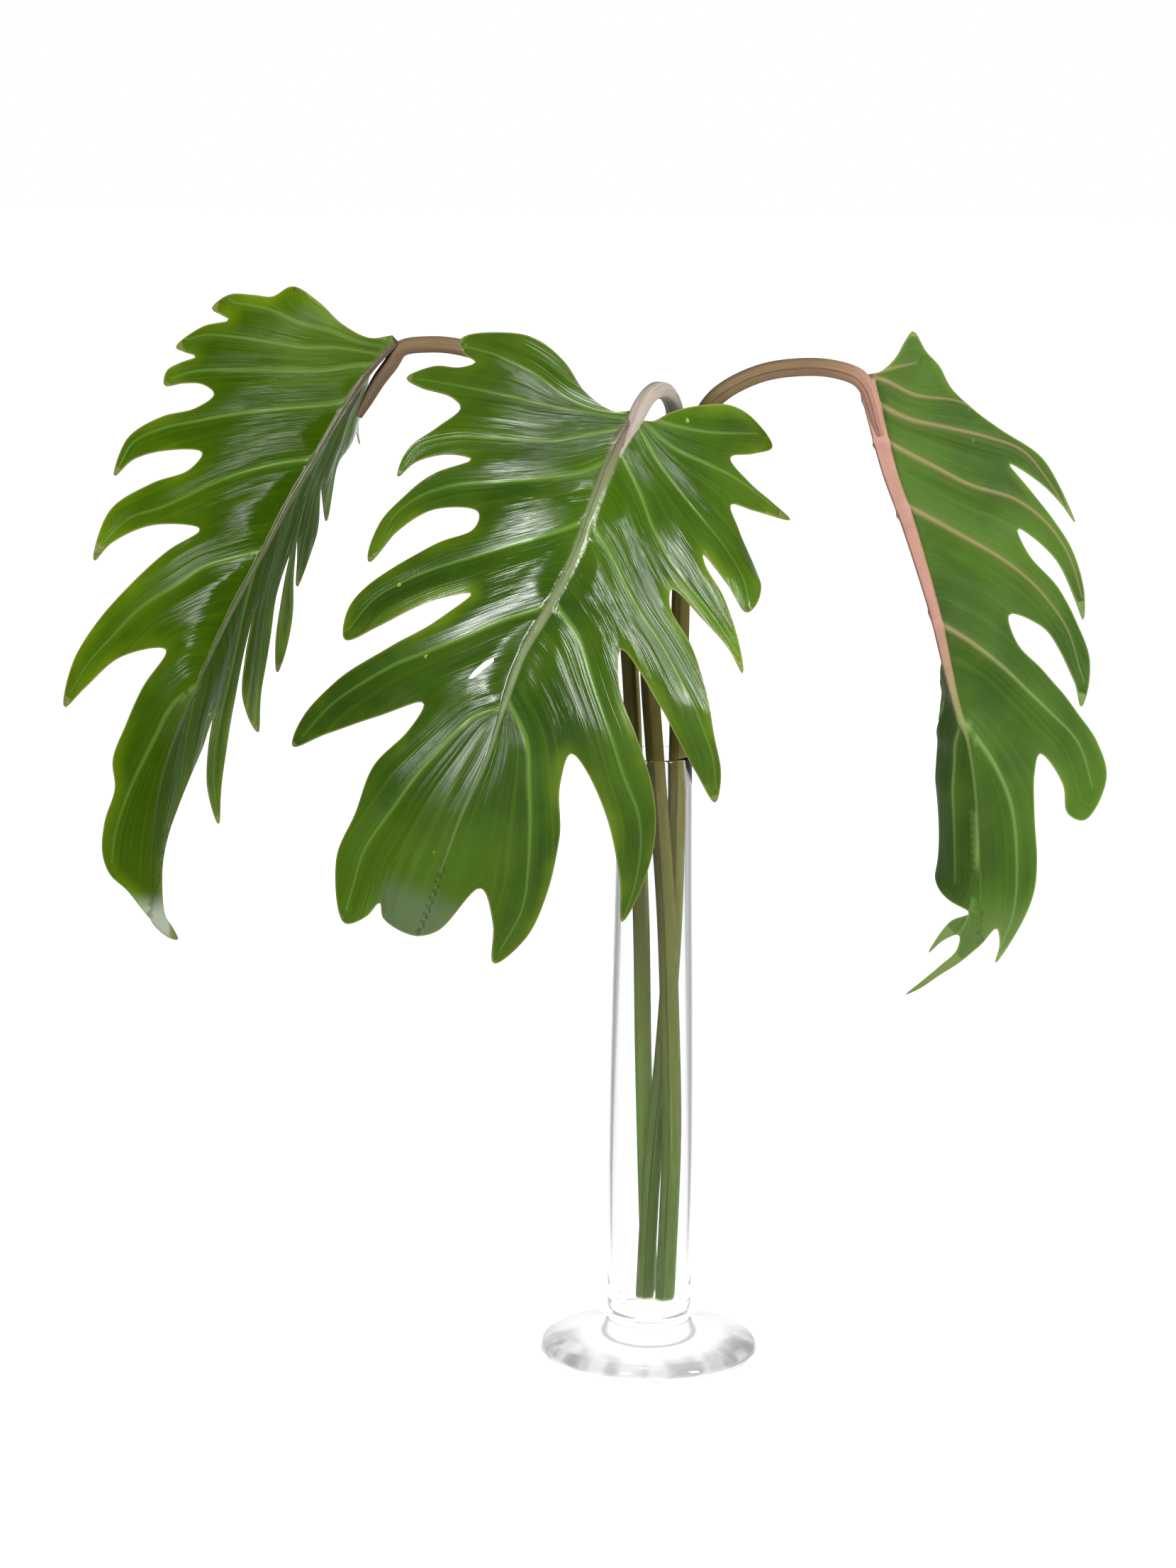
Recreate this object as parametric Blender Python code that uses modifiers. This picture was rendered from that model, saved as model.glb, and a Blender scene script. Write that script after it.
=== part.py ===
"""Three cut philodendron leaves on long stalks, standing in a footed vase of clear glass.

The origin is the middle of the foot's underside, +Z is up and the leaves' showing side is -Y.
Lengths below are in millimetres and angles in degrees; the objects are made in metres.
"""

import math

import bpy
import numpy as np
from mathutils.geometry import delaunay_2d_cdt

MM = 0.001
COLLECTION = "philodendron_leaves"

# Vase: one piece of glass, turned about Z
VASE_HEIGHT = 304.5
FOOT_RADIUS = 54.0
FOOT_FLAT_RADIUS = 50.5
WALL = 2.0
RIM_RADIUS = 18.1
CAVITY_FLOOR = 25.0
CAVITY_CORNER_TOP = 35.0
CAVITY_CORNER_SQUARENESS = 3.0
CAVITY_CORNER_SHARES = (0.0, 0.35, 0.6, 0.78, 0.9, 0.97)
TUBE_RADII = [(243.0, 18.8), (192.0, 19.7), (150.0, 20.4), (98.0, 21.0), (60.0, 20.9), (35.0, 20.6)]
NECK = [(20.5, 24.0), (21.2, 19.5), (22.6, 16.9), (25.0, 15.3)]
DOME = [(32.0, 13.4), (40.0, 11.6), (47.0, 9.7), (51.4, 7.7)]
FOOT_EDGE_HEIGHT = 3.6
VASE_SIDES = 36

# Leaf blades
BLADE_THICKNESS = 0.8
RIDGE_DEPTH = 5.0
RIDGE_HALF_WIDTH = (3.2, 1.0)
RIDGE_TAPER = 0.8
BASE_HALF_WIDTH = 4.5
TURN_SMOOTHING = 24.0
GRID = 12.0
GRID_CLEARANCE = 5.0
MARGIN_STEPS = 3
VEIN_POINTS = 12
BULGE = 2.4
BULGE_WIDTH = 9.0
MARGIN_FADE = 10.0

# Stalks
STALK_SIDES_RESOLUTION = 2
STALK_RINGS = 36

# Each leaf lies flat first: u runs down the midrib from the stalk, v out to the margin.
# A lobe is (vein's root u, margin points before the tip, the tip, margin points to the next cleft).
# A fold row is (u, how far the blade turns away from the front, its curl in degrees per 100 mm).
CENTRE_LEAF = {
    "midrib": [(-11, -78, 484), (-20, -92, 471), (-31, -111, 446), (-39, -123, 425), (-50, -132, 404),
               (-63, -139, 382), (-71, -144, 360), (-79, -148, 334), (-91, -150, 307), (-100, -150, 282)],
    "top_in_front": True,
    "left_fold": [(-60, -12, 10), (20, 2, 14), (120, 12, 26), (240, 14, 30)],
    "right_fold": [(-70, 46, 10), (0, 42, 12), (60, 24, 12), (120, 10, 14), (240, 10, 20)],
    "left_lobes": [
        (0, [(3, 11), (-2, 28), (-13, 44), (-19, 62), (-17, 78)], (-9, 97), [(-3, 93), (0, 85)]),
        (4, [(4, 91), (6, 104)], (14, 114), [(18, 104), (20, 86), (25, 79)]),
        (9, [(36, 86), (49, 97)], (65, 99), [(55, 91), (48, 76), (48, 64)]),
        (29, [(59, 80), (72, 91), (95, 102), (113, 101)], (121, 95), [(101, 91), (80, 76), (74, 53)]),
        (62, [(84, 52), (98, 66), (121, 82), (143, 93)], (156, 89), [(145, 73), (124, 50), (116, 37)]),
        (106, [(134, 46), (152, 64), (176, 86), (201, 96)], (219, 95), [(205, 79), (186, 59), (170, 38)]),
        (158, [(186, 41), (208, 49), (232, 49), (256, 50)], (282, 35), [(275, 26), (266, 22)]),
    ],
    "tip": [(272, 18), (274, 2), (268, -9)],
    "right_lobes": [
        (0, [(-4, 9), (-16, 15), (-31, 26), (-46, 41), (-52, 56)], (-51, 74), [(-38, 66), (-24, 55)]),
        (2, [(-24, 72), (-28, 89)], (-31, 104), [(-15, 82), (-5, 68)]),
        (3, [(1, 80), (14, 97), (42, 97)], (62, 92), [(54, 77), (46, 60)]),
        (21, [(52, 63), (62, 78), (76, 91)], (90, 99), [(83, 88), (77, 70), (72, 50)]),
        (62, [(80, 52), (92, 70), (116, 92), (145, 110)], (168, 115), [(154, 98), (128, 72), (109, 39)]),
        (104, [(124, 46), (147, 64), (176, 84), (205, 97), (228, 99)], (242, 96),
         [(217, 85), (190, 64), (168, 37)]),
        (154, [(184, 37), (207, 48), (236, 53), (260, 51)], (276, 40), [(258, 33), (243, 21)]),
    ],
}
LEFT_LEAF = {
    "midrib": [(-125, 10, 504), (-137, 6, 491), (-149, 2, 475), (-165, -4, 448), (-177, -8, 428),
               (-189, -12, 405), (-203, -16, 379), (-216, -19, 352), (-232, -22, 315), (-239, -23, 292),
               (-243, -24, 264), (-244, -24, 236)],
    "top_in_front": True,
    "left_fold": [(-90, 0, 18), (0, 2, 20), (150, 6, 24), (300, 10, 30)],
    "right_fold": [(-90, 108, 8), (12, 102, 8), (36, 84, 12), (60, 80, 0), (105, 68, 0), (180, 62, 0),
                   (300, 58, 4)],
    "left_lobes": [
        (0, [(8, 12), (11, 26), (10, 42)], (12, 58), [(20, 62), (24, 70)]),
        (3, [(30, 81)], (38, 84), [(38, 78), (38, 73)]),
        (8, [(46, 83)], (59, 90), [(59, 85), (58, 78)]),
        (20, [(64, 84), (70, 88)], (76, 85), [(71, 77), (67, 68), (68, 60)]),
        (39, [(78, 65), (89, 78), (106, 89)], (124, 86), [(113, 81), (102, 68), (94, 50)]),
        (71, [(104, 52), (118, 66), (139, 79)], (163, 74), [(152, 70), (135, 55), (126, 33)]),
        (121, [(142, 42), (164, 51), (188, 59), (208, 62)], (226, 58), [(215, 51), (196, 40), (184, 21)]),
        (194, [(204, 24), (224, 25), (240, 26), (252, 22), (268, 25), (283, 25)], (292, 21), [(299, 12)]),
    ],
    "tip": [(308, 4), (318, -4)],
    "right_lobes": [
        (0, [(2, 16), (0, 36), (6, 58), (20, 78)], (49, 86), [(46, 68), (53, 52)]),
        (6, [(64, 42), (78, 48)], (94, 51), [(86, 38), (80, 28)]),
        (24, [(97, 42), (116, 50)], (131, 52), [(118, 38), (108, 26)]),
        (45, [(126, 42), (144, 59), (162, 67)], (178, 69), [(164, 56), (140, 42), (117, 27)]),
        (78, [(136, 33), (158, 46), (190, 62)], (215, 77), [(195, 47), (173, 32), (151, 21)]),
        (128, [(172, 29), (200, 42), (230, 53), (256, 57)], (272, 58), [(252, 45), (229, 36), (209, 28)]),
        (190, [(226, 29), (243, 25), (258, 19)], (272, 13), [(290, 9)]),
    ],
}
RIGHT_LEAF = {
    "midrib": [(98, -8, 492), (104, -10, 470), (111, -11, 446), (120, -11, 422), (128, -10, 398),
               (135, -8, 375), (141, -6, 351), (147, -4, 328), (151, -3, 316), (155, -1, 295),
               (158, 1, 268), (160, 3, 240), (160, 4, 226)],
    "top_in_front": False,
    "left_fold": [(-40, 112, 0), (20, 108, 0), (90, 98, 0), (145, 90, 10), (172, 76, 30), (194, 45, 120),
                  (218, 22, 190), (268, 20, 190), (288, 20, 40), (350, 15, 20)],
    "right_fold": [(-80, 20, 12), (0, 22, 12), (138, 20, 16), (276, 14, 24)],
    "left_lobes": [
        (0, [(2, 10), (2, 22), (4, 40), (8, 58)], (16, 72), [(22, 62), (26, 52)]),
        (10, [(36, 66), (52, 79)], (72, 85), [(62, 70), (56, 54)]),
        (32, [(74, 62), (94, 76)], (118, 84), [(108, 68), (92, 46)]),
        (68, [(110, 54), (132, 68)], (160, 76), [(148, 60), (128, 36)]),
        (120, [(146, 44), (172, 58), (194, 68)], (210, 70), [(196, 56), (176, 34)]),
        (176, [(198, 42), (222, 50), (246, 56)], (262, 50), [(268, 34), (273, 18), (277, 5)]),
        (225, [(283, 15)], (301, 26), [(293, 18), (289, 10)]),
    ],
    "tip": [(297, 11), (306, 19), (316, 29), (324, 37), (320, 30), (311, 19), (303, 9), (292, -2)],
    "right_lobes": [
        (0, [(0, 9), (-4, 18), (-11, 26)], (-14, 31), [(-3, 35), (6, 40), (18, 43), (33, 52)]),
        (15, [(48, 63), (70, 79), (89, 84)], (107, 86), [(97, 82), (84, 75), (67, 61)]),
        (34, [(85, 68), (102, 75), (118, 80), (140, 81)], (152, 77), [(141, 75), (118, 69), (98, 54)]),
        (68, [(112, 56), (132, 67), (152, 73), (172, 75)], (190, 63),
         [(178, 63), (162, 60), (148, 54), (135, 37)]),
        (126, [(150, 38), (167, 48), (191, 60), (207, 69), (223, 72)], (239, 58),
         [(234, 48), (221, 47), (204, 36)]),
        (184, [(212, 32), (232, 30), (254, 30), (270, 28), (286, 21)], (303, 9), [(294, 11), (285, 9)]),
    ],
}

# A stalk's route runs from its cut end in the vase up to the blade, which it clears by about 0.4.
STALKS = {
    "left_stalk": {
        "route": [(0.4, 10.3, 27.3), (-1.8, 9.9, 80), (-4.2, 9.4, 149), (-6.0, 8.0, 218), (-10.2, 4.4, 303),
                  (-12.9, 4, 349), (-16.7, 5, 385), (-24.5, 7, 419), (-37, 9, 450), (-56, 10, 479),
                  (-77, 11, 495), (-96, 11.5, 501.2), (-110, 12.2, 502.3), (-124.3, 13.2, 499.9)],
        "radii": (4.2, 3.9),
    },
    "centre_stalk": {
        "route": [(7.5, -8.2, 28.4), (9.8, -8.6, 114), (8.3, -8.8, 172), (5.7, -9.1, 230), (-0.3, -9.5, 306),
                  (-3.7, -10, 352), (-3.8, -11, 388), (-0.8, -13, 423), (4.3, -17, 452), (7.3, -24, 473),
                  (4.6, -38, 486), (-1.2, -54, 491.5), (-6.6, -66.5, 489.8), (-10.2, -73.6, 484.8)],
        "radii": (4.6, 4.0),
    },
    "right_stalk": {
        "route": [(-2.2, 1.0, 25.8), (1.0, 1.0, 97), (5.7, 1.2, 148), (10.2, 1.4, 227), (11.2, 2.0, 304),
                  (11.6, 1.0, 379), (12.5, 0, 411), (13.5, -1, 438), (17.3, -2, 461), (24, -3, 476),
                  (32, -4, 484), (49, -5, 492.4), (67, -6, 495.5), (82, -7.4, 495.2), (94.6, -9.8, 491.6)],
        "radii": (4.5, 4.3),
    },
}


def clear_scene():
    for obj in list(bpy.data.objects):
        bpy.data.objects.remove(obj, do_unlink=True)


def make_collection():
    collection = bpy.data.collections.new(COLLECTION)
    bpy.context.scene.collection.children.link(collection)
    return collection


def make_material(name, colour, roughness, transmission=0.0):
    material = bpy.data.materials.new(name)
    material.use_nodes = True
    shader = material.node_tree.nodes["Principled BSDF"]
    shader.inputs["Base Color"].default_value = (*colour, 1.0)
    shader.inputs["Roughness"].default_value = roughness
    shader.inputs["Metallic"].default_value = 0.0
    shader.inputs["Transmission Weight"].default_value = transmission
    return material


def smooth_path(points, steps):
    """Points on a smooth curve through the given ones, with so many steps to a span (centripetal)."""
    points = np.asarray(points, float)
    points = np.vstack([2 * points[0] - points[1], points, 2 * points[-1] - points[-2]])
    knots = np.concatenate([[0.0], np.cumsum(np.linalg.norm(np.diff(points, axis=0), axis=1) ** 0.5)])
    out = []
    for i in range(1, len(points) - 2):
        p0, p1, p2, p3 = points[i - 1:i + 3]
        t0, t1, t2, t3 = knots[i - 1:i + 3]
        for t in np.linspace(t1, t2, steps, endpoint=False):
            a1 = (t1 - t) / (t1 - t0) * p0 + (t - t0) / (t1 - t0) * p1
            a2 = (t2 - t) / (t2 - t1) * p1 + (t - t1) / (t2 - t1) * p2
            a3 = (t3 - t) / (t3 - t2) * p2 + (t - t2) / (t3 - t2) * p3
            b1 = (t2 - t) / (t2 - t0) * a1 + (t - t0) / (t2 - t0) * a2
            b2 = (t3 - t) / (t3 - t1) * a2 + (t - t1) / (t3 - t1) * a3
            out.append((t2 - t) / (t2 - t1) * b1 + (t - t1) / (t2 - t1) * b2)
    return np.vstack([out, points[-2]])


def evenly(path, count):
    """The path again, at count points an equal way apart."""
    way = np.concatenate([[0.0], np.cumsum(np.linalg.norm(np.diff(path, axis=0), axis=1))])
    at = np.linspace(0.0, way[-1], count)
    return np.stack([np.interp(at, way, path[:, k]) for k in range(path.shape[1])], axis=1)


def smooth_lookup(x, rows, column):
    """A value from rows sorted by their first number, easing from one row to the next."""
    rows = np.asarray(rows, float)
    i = np.clip(np.searchsorted(rows[:, 0], x) - 1, 0, len(rows) - 2)
    t = np.clip((x - rows[i, 0]) / (rows[i + 1, 0] - rows[i, 0]), 0.0, 1.0)
    t = t * t * (3 - 2 * t)
    return rows[i, column] * (1 - t) + rows[i + 1, column] * t


def unit(vectors):
    return vectors / np.linalg.norm(vectors, axis=-1, keepdims=True)


class BladeShape:
    """Carries a flat leaf's points (u, v) to their places in the bent, folded leaf."""

    def __init__(self, leaf):
        self.leaf = leaf
        self.path = evenly(smooth_path(leaf["midrib"], 12), 241)
        steps = np.linalg.norm(np.diff(self.path, axis=0), axis=1)
        self.way = np.concatenate([[0.0], np.cumsum(steps)])
        self.length = self.way[-1]
        self.tangents = self.even_turning(unit(np.gradient(self.path, axis=0)))

    def even_turning(self, tangents):
        """The midrib's directions averaged over a stretch, so that the halves beside it don't fold up."""
        step = self.length / (len(tangents) - 1)
        count = int(3 * TURN_SMOOTHING / step)
        weights = np.exp(-0.5 * (np.arange(-count, count + 1) * step / TURN_SMOOTHING) ** 2)
        before = 2 * tangents[0] - tangents[count:0:-1]
        after = 2 * tangents[-1] - tangents[-2:-count - 2:-1]
        padded = np.vstack([before, tangents, after])
        even = [np.convolve(padded[:, k], weights / weights.sum(), "valid") for k in range(3)]
        return unit(np.stack(even, axis=1))

    def midrib(self, u):
        near = np.clip(u, 0.0, self.length)
        place = np.stack([np.interp(near, self.way, self.path[:, k]) for k in range(3)], axis=1)
        tangent = unit(np.stack([np.interp(near, self.way, self.tangents[:, k]) for k in range(3)], axis=1))
        return place + tangent * (u - near)[:, None], tangent

    def sheet(self, u, v):
        """The smooth sheet before its veins are pressed in: each half turns away from the front and curls."""
        place, tangent = self.midrib(u)
        out = place.copy()
        for sign, rows in ((-1, self.leaf["left_fold"]), (1, self.leaf["right_fold"])):
            half = np.sign(v) == sign
            t = tangent[half]
            across = np.array([float(sign), 0.0, 0.0])
            across = unit(across - t * (t @ across)[:, None])
            away = np.cross(t, across)
            away *= np.sign(away[:, 1])[:, None]
            start = np.radians(smooth_lookup(u[half], rows, 1))
            curl = np.radians(smooth_lookup(u[half], rows, 2)) / 100 + 1e-7
            end = start + curl * np.abs(v[half])
            out[half] += across * ((np.sin(end) - np.sin(start)) / curl)[:, None]
            out[half] += away * ((np.cos(start) - np.cos(end)) / curl)[:, None]
        return out

    def normals(self, u, v):
        """Unit normals of the sheet, on the front."""
        h = 0.5
        side = np.where(v < 0, -1.0, 1.0)
        v_in = side * np.maximum(np.abs(v), 1.0)
        along = self.sheet(u + h, v_in) - self.sheet(u - h, v_in)
        across = self.sheet(u, v_in + h) - self.sheet(u, v_in - h)
        return unit(np.cross(along, across))


def distance_to(points, line):
    """How far each point is from a line of straight pieces."""
    best = np.full(len(points), np.inf)
    for a, b in zip(line[:-1], line[1:]):
        ab = b - a
        t = np.clip(((points - a) @ ab) / max(float(ab @ ab), 1e-9), 0.0, 1.0)
        best = np.minimum(best, np.linalg.norm(points - a - t[:, None] * ab, axis=1))
    return best


def inside(points, outline):
    """Which points lie inside a closed outline."""
    found = np.zeros(len(points), bool)
    x, y = points[:, 0], points[:, 1]
    for a, b in zip(outline, np.roll(outline, -1, axis=0)):
        if a[1] == b[1]:
            continue
        crosses = (a[1] > y) != (b[1] > y)
        found ^= crosses & (x < (b[0] - a[0]) * (y - a[1]) / (b[1] - a[1]) + a[0])
    return found


def margin_points(lobes, sign):
    points = []
    for _, before, tip, after in lobes:
        points += [(u, sign * v) for u, v in [*before, tip, *after]]
    return points


def blade_outline(leaf):
    """The closed margin: down the left side, round the tip and back up the right side to the stalk."""
    left = margin_points(leaf["left_lobes"], -1)
    right = margin_points(leaf["right_lobes"], 1)[::-1]
    tip = [(u, -v) for u, v in leaf["tip"]]
    ends = [(0.0, -BASE_HALF_WIDTH), (0.0, BASE_HALF_WIDTH)]
    margin = smooth_path([ends[0], *left, *tip, *right, ends[1]], MARGIN_STEPS)
    width = RIDGE_HALF_WIDTH[0]
    return np.vstack([margin, [(0.0, width), (0.0, 0.0), (0.0, -width)]])


def side_veins(leaf):
    """Each lobe's vein, from its root on the midrib through the lobe's neck to near its tip."""
    veins = []
    for sign, side in ((-1, "left_lobes"), (1, "right_lobes")):
        cleft = None
        for root, before, tip, after in leaf[side]:
            above = cleft or before[len(before) // 2]
            cleft = after[-1]
            neck = (0.5 * (above[0] + cleft[0]), 0.5 * (above[1] + cleft[1]))
            line = smooth_path([(root, 0.0), (neck[0], sign * neck[1]), (tip[0], sign * tip[1])], 12)
            veins.append(evenly(line, VEIN_POINTS + 1)[:-1])
    return veins


def ridge_width(u, length):
    share = np.clip(u / length, 0.0, 1.0)
    return RIDGE_HALF_WIDTH[0] * (1 - share) + RIDGE_HALF_WIDTH[1] * share


def split_into_triangles(outline, lines):
    """The flat blade as triangles, with the margin, midrib and veins as edges."""
    points = list(outline)
    edges = [(i, (i + 1) % len(outline)) for i in range(len(outline))]
    for line in lines:
        first = len(points)
        points += list(line)
        edges += [(first + i, first + i + 1) for i in range(len(line) - 1)]
    low, high = outline.min(axis=0), outline.max(axis=0)
    rows = np.arange(low[0], high[0], GRID * math.sqrt(0.75))
    grid = np.array([
        (row, v + (i % 2) * GRID / 2) for i, row in enumerate(rows) for v in np.arange(low[1], high[1], GRID)
    ])
    keep = inside(grid, outline)
    for line in [np.vstack([outline, outline[:1]]), *lines]:
        keep &= distance_to(grid, line) > GRID_CLEARANCE
    points += list(grid[keep])
    made = delaunay_2d_cdt([tuple(p) for p in points], edges, [], 1, 1e-4)
    return np.array([tuple(p) for p in made[0]]), made[2]


def make_blade(name, leaf, material, collection):
    """One leaf blade: a thin lobed sheet, with the midrib standing out as a ridge underneath."""
    shape = BladeShape(leaf)
    outline = blade_outline(leaf)
    veins = side_veins(leaf)
    stations = np.arange(0.0, shape.length, GRID)
    widths = ridge_width(stations, shape.length)
    midrib = np.stack([stations, 0 * stations], axis=1)
    ridge_sides = [np.stack([stations, sign * widths], axis=1) for sign in (-1, 1)]
    flat, triangles = split_into_triangles(outline, [midrib, *ridge_sides, *veins])

    margin = distance_to(flat, np.vstack([outline, outline[:1]]))
    to_vein = np.min([distance_to(flat, line) for line in [midrib, *veins]], axis=0)
    bulge = BULGE * (1 - np.exp(-((to_vein / BULGE_WIDTH) ** 2))) * (1 - np.exp(-margin / MARGIN_FADE))
    u, v = flat.T
    top = 1 if leaf["top_in_front"] else -1
    points = shape.sheet(u, v) + shape.normals(u, v) * (top * bulge)[:, None]
    faces = [face if top > 0 else face[::-1] for face in triangles]

    mesh = bpy.data.meshes.new(name)
    mesh.from_pydata((points * MM).tolist(), [], faces)
    mesh.materials.append(material)
    blade = bpy.data.objects.new(name, mesh)
    collection.objects.link(blade)
    ridge = blade.vertex_groups.new(name="ridge")
    widest = ridge_width(u, shape.length)
    taper = 1 - RIDGE_TAPER * np.clip(u / shape.length, 0.0, 1.0)
    weights = np.clip(1 - np.abs(v) / widest, 0.0, 1.0) * taper * (u > -0.01) * (u < shape.length)
    for i, weight in enumerate(weights):
        ridge.add([i], float(weight), "REPLACE")
    solidify = blade.modifiers.new("thickness", "SOLIDIFY")
    solidify.thickness = RIDGE_DEPTH * MM
    solidify.offset = -1
    solidify.vertex_group = "ridge"
    solidify.thickness_vertex_group = BLADE_THICKNESS / RIDGE_DEPTH
    return blade


def make_stalk(name, stalk, material, collection):
    """A leaf stalk: a tapering tube with flat ends, from the vase to just short of the blade."""
    places = evenly(smooth_path(stalk["route"], 8), STALK_RINGS)
    curve = bpy.data.curves.new(name, "CURVE")
    curve.dimensions = "3D"
    curve.bevel_depth = MM
    curve.bevel_resolution = STALK_SIDES_RESOLUTION
    curve.use_fill_caps = True
    spline = curve.splines.new("POLY")
    spline.points.add(len(places) - 1)
    foot, head = stalk["radii"]
    for i, (point, place) in enumerate(zip(spline.points, places)):
        point.co = (*(place * MM), 1.0)
        point.radius = foot + (head - foot) * i / (len(places) - 1)
    curve.materials.append(material)
    tube = bpy.data.objects.new(name, curve)
    collection.objects.link(tube)
    return tube


def vase_profile():
    """Radius and height, from the floor of the cavity up its wall, over the rim and down the outside."""
    tube = [(radius, height) for height, radius in TUBE_RADII]
    corner_radius = tube[-1][0] - WALL
    corner_drop = CAVITY_CORNER_TOP - CAVITY_FLOOR
    power = CAVITY_CORNER_SQUARENESS
    corner = []
    for share in CAVITY_CORNER_SHARES:
        drop = corner_drop * (1 - share ** power) ** (1 / power)
        corner.append((corner_radius * share, CAVITY_CORNER_TOP - drop))
    inner = [(radius - WALL, height) for radius, height in tube[::-1]]
    half_wall = WALL / 2
    rim = []
    for angle in (180, 135, 90, 45, 0):
        turn = math.radians(angle)
        rim.append((RIM_RADIUS - half_wall + half_wall * math.cos(turn),
                    VASE_HEIGHT - half_wall + half_wall * math.sin(turn)))
    edge = []
    for angle in (45, 0, -45):
        turn = math.radians(angle)
        edge.append((FOOT_FLAT_RADIUS + (FOOT_RADIUS - FOOT_FLAT_RADIUS) * math.cos(turn),
                     FOOT_EDGE_HEIGHT * (1 + math.sin(turn))))
    return [*corner, *inner, *rim, *tube, *NECK, *DOME, *edge, (FOOT_FLAT_RADIUS, 0.0), (0.0, 0.0)]


def make_vase(material, collection):
    profile = vase_profile()
    mesh = bpy.data.meshes.new("vase")
    points = [(radius * MM, 0.0, height * MM) for radius, height in profile]
    mesh.from_pydata(points, [(i, i + 1) for i in range(len(points) - 1)], [])
    mesh.materials.append(material)
    vase = bpy.data.objects.new("vase", mesh)
    collection.objects.link(vase)
    screw = vase.modifiers.new("turning", "SCREW")
    screw.steps = VASE_SIDES
    screw.render_steps = VASE_SIDES
    screw.use_merge_vertices = True
    screw.merge_threshold = 0.00005
    screw.use_smooth_shade = True
    return vase


def main():
    clear_scene()
    collection = make_collection()
    glass = make_material("clear_glass", (0.93, 0.95, 0.95), 0.03, 1.0)
    top_green = make_material("glossy_leaf", (0.035, 0.13, 0.02), 0.32)
    back_green = make_material("leaf_underside", (0.09, 0.2, 0.05), 0.55)
    bark = make_material("stalk_skin", (0.2, 0.13, 0.08), 0.5)
    make_vase(glass, collection)
    make_blade("centre_leaf", CENTRE_LEAF, top_green, collection)
    make_blade("left_leaf", LEFT_LEAF, top_green, collection)
    make_blade("right_leaf", RIGHT_LEAF, back_green, collection)
    for name, stalk in STALKS.items():
        make_stalk(name, stalk, bark, collection)


main()
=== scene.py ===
import math

import bpy
import numpy as np
from mathutils import Matrix, Vector
from mathutils.geometry import delaunay_2d_cdt


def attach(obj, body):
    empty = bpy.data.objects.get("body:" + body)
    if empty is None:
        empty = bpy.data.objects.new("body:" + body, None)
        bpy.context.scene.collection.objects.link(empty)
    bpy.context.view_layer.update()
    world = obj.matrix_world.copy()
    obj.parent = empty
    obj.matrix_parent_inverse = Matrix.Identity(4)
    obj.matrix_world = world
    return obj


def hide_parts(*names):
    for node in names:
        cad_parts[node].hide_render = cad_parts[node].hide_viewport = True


# Three cut philodendron leaves in a footed vase of clear glass.
# The origin is under the middle of the foot, -Y is the front. Sizes are in mm unless a name says metres.

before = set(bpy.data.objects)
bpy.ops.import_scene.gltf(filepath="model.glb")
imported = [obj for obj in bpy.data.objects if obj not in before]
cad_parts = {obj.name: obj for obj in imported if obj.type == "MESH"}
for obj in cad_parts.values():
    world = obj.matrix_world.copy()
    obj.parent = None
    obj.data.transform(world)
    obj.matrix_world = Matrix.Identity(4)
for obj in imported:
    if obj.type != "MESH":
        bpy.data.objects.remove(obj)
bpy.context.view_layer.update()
scene = bpy.context.scene
mm = 0.001


# Camera first: the place, tilt and lens that the photograph was taken with
cameraLook = {
    "placeMetres": (-0.0325, -2.75, 0.915),
    "tiltDown": 12.826,
    "roll": 0.5,
    "lensMm": 132.9,
}


def makeCamera(look):
    tilt = math.radians(look["tiltDown"])
    roll = math.radians(look["roll"])
    forward = Vector((0, math.cos(tilt), -math.sin(tilt)))
    side = Vector((1, 0, 0))
    over = side.cross(forward)
    right = side * math.cos(roll) + over * math.sin(roll)
    up = over * math.cos(roll) - side * math.sin(roll)
    turn = Matrix((right, up, -forward)).transposed()
    data = bpy.data.cameras.new("photoCamera")
    data.sensor_fit = "AUTO"
    data.sensor_width = 36.0
    data.lens = look["lensMm"]
    data.clip_start = 0.05
    data.clip_end = 60.0
    camera = bpy.data.objects.new("photoCamera", data)
    camera.matrix_world = Matrix.Translation(look["placeMetres"]) @ turn.to_4x4()
    scene.collection.objects.link(camera)
    scene.camera = camera
    return camera


makeCamera(cameraLook)
print("camera set")


# Small helpers that every piece uses
def smoothPath(points, steps):
    points = np.asarray(points, float)
    points = np.vstack([2 * points[0] - points[1], points, 2 * points[-1] - points[-2]])
    knots = np.concatenate([[0.0], np.cumsum(np.linalg.norm(np.diff(points, axis=0), axis=1) ** 0.5)])
    out = []
    for i in range(1, len(points) - 2):
        p0, p1, p2, p3 = points[i - 1:i + 3]
        t0, t1, t2, t3 = knots[i - 1:i + 3]
        for t in np.linspace(t1, t2, steps, endpoint=False):
            a1 = (t1 - t) / (t1 - t0) * p0 + (t - t0) / (t1 - t0) * p1
            a2 = (t2 - t) / (t2 - t1) * p1 + (t - t1) / (t2 - t1) * p2
            a3 = (t3 - t) / (t3 - t2) * p2 + (t - t2) / (t3 - t2) * p3
            b1 = (t2 - t) / (t2 - t0) * a1 + (t - t0) / (t2 - t0) * a2
            b2 = (t3 - t) / (t3 - t1) * a2 + (t - t1) / (t3 - t1) * a3
            out.append((t2 - t) / (t2 - t1) * b1 + (t - t1) / (t2 - t1) * b2)
    return np.vstack([out, points[-2]])


def evenly(path, step):
    way = np.concatenate([[0.0], np.cumsum(np.linalg.norm(np.diff(path, axis=0), axis=1))])
    at = np.linspace(0.0, way[-1], max(2, int(round(way[-1] / step)) + 1))
    return np.stack([np.interp(at, way, path[:, k]) for k in range(path.shape[1])], axis=1)


def unit(vectors):
    return vectors / np.linalg.norm(vectors, axis=-1, keepdims=True)


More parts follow.
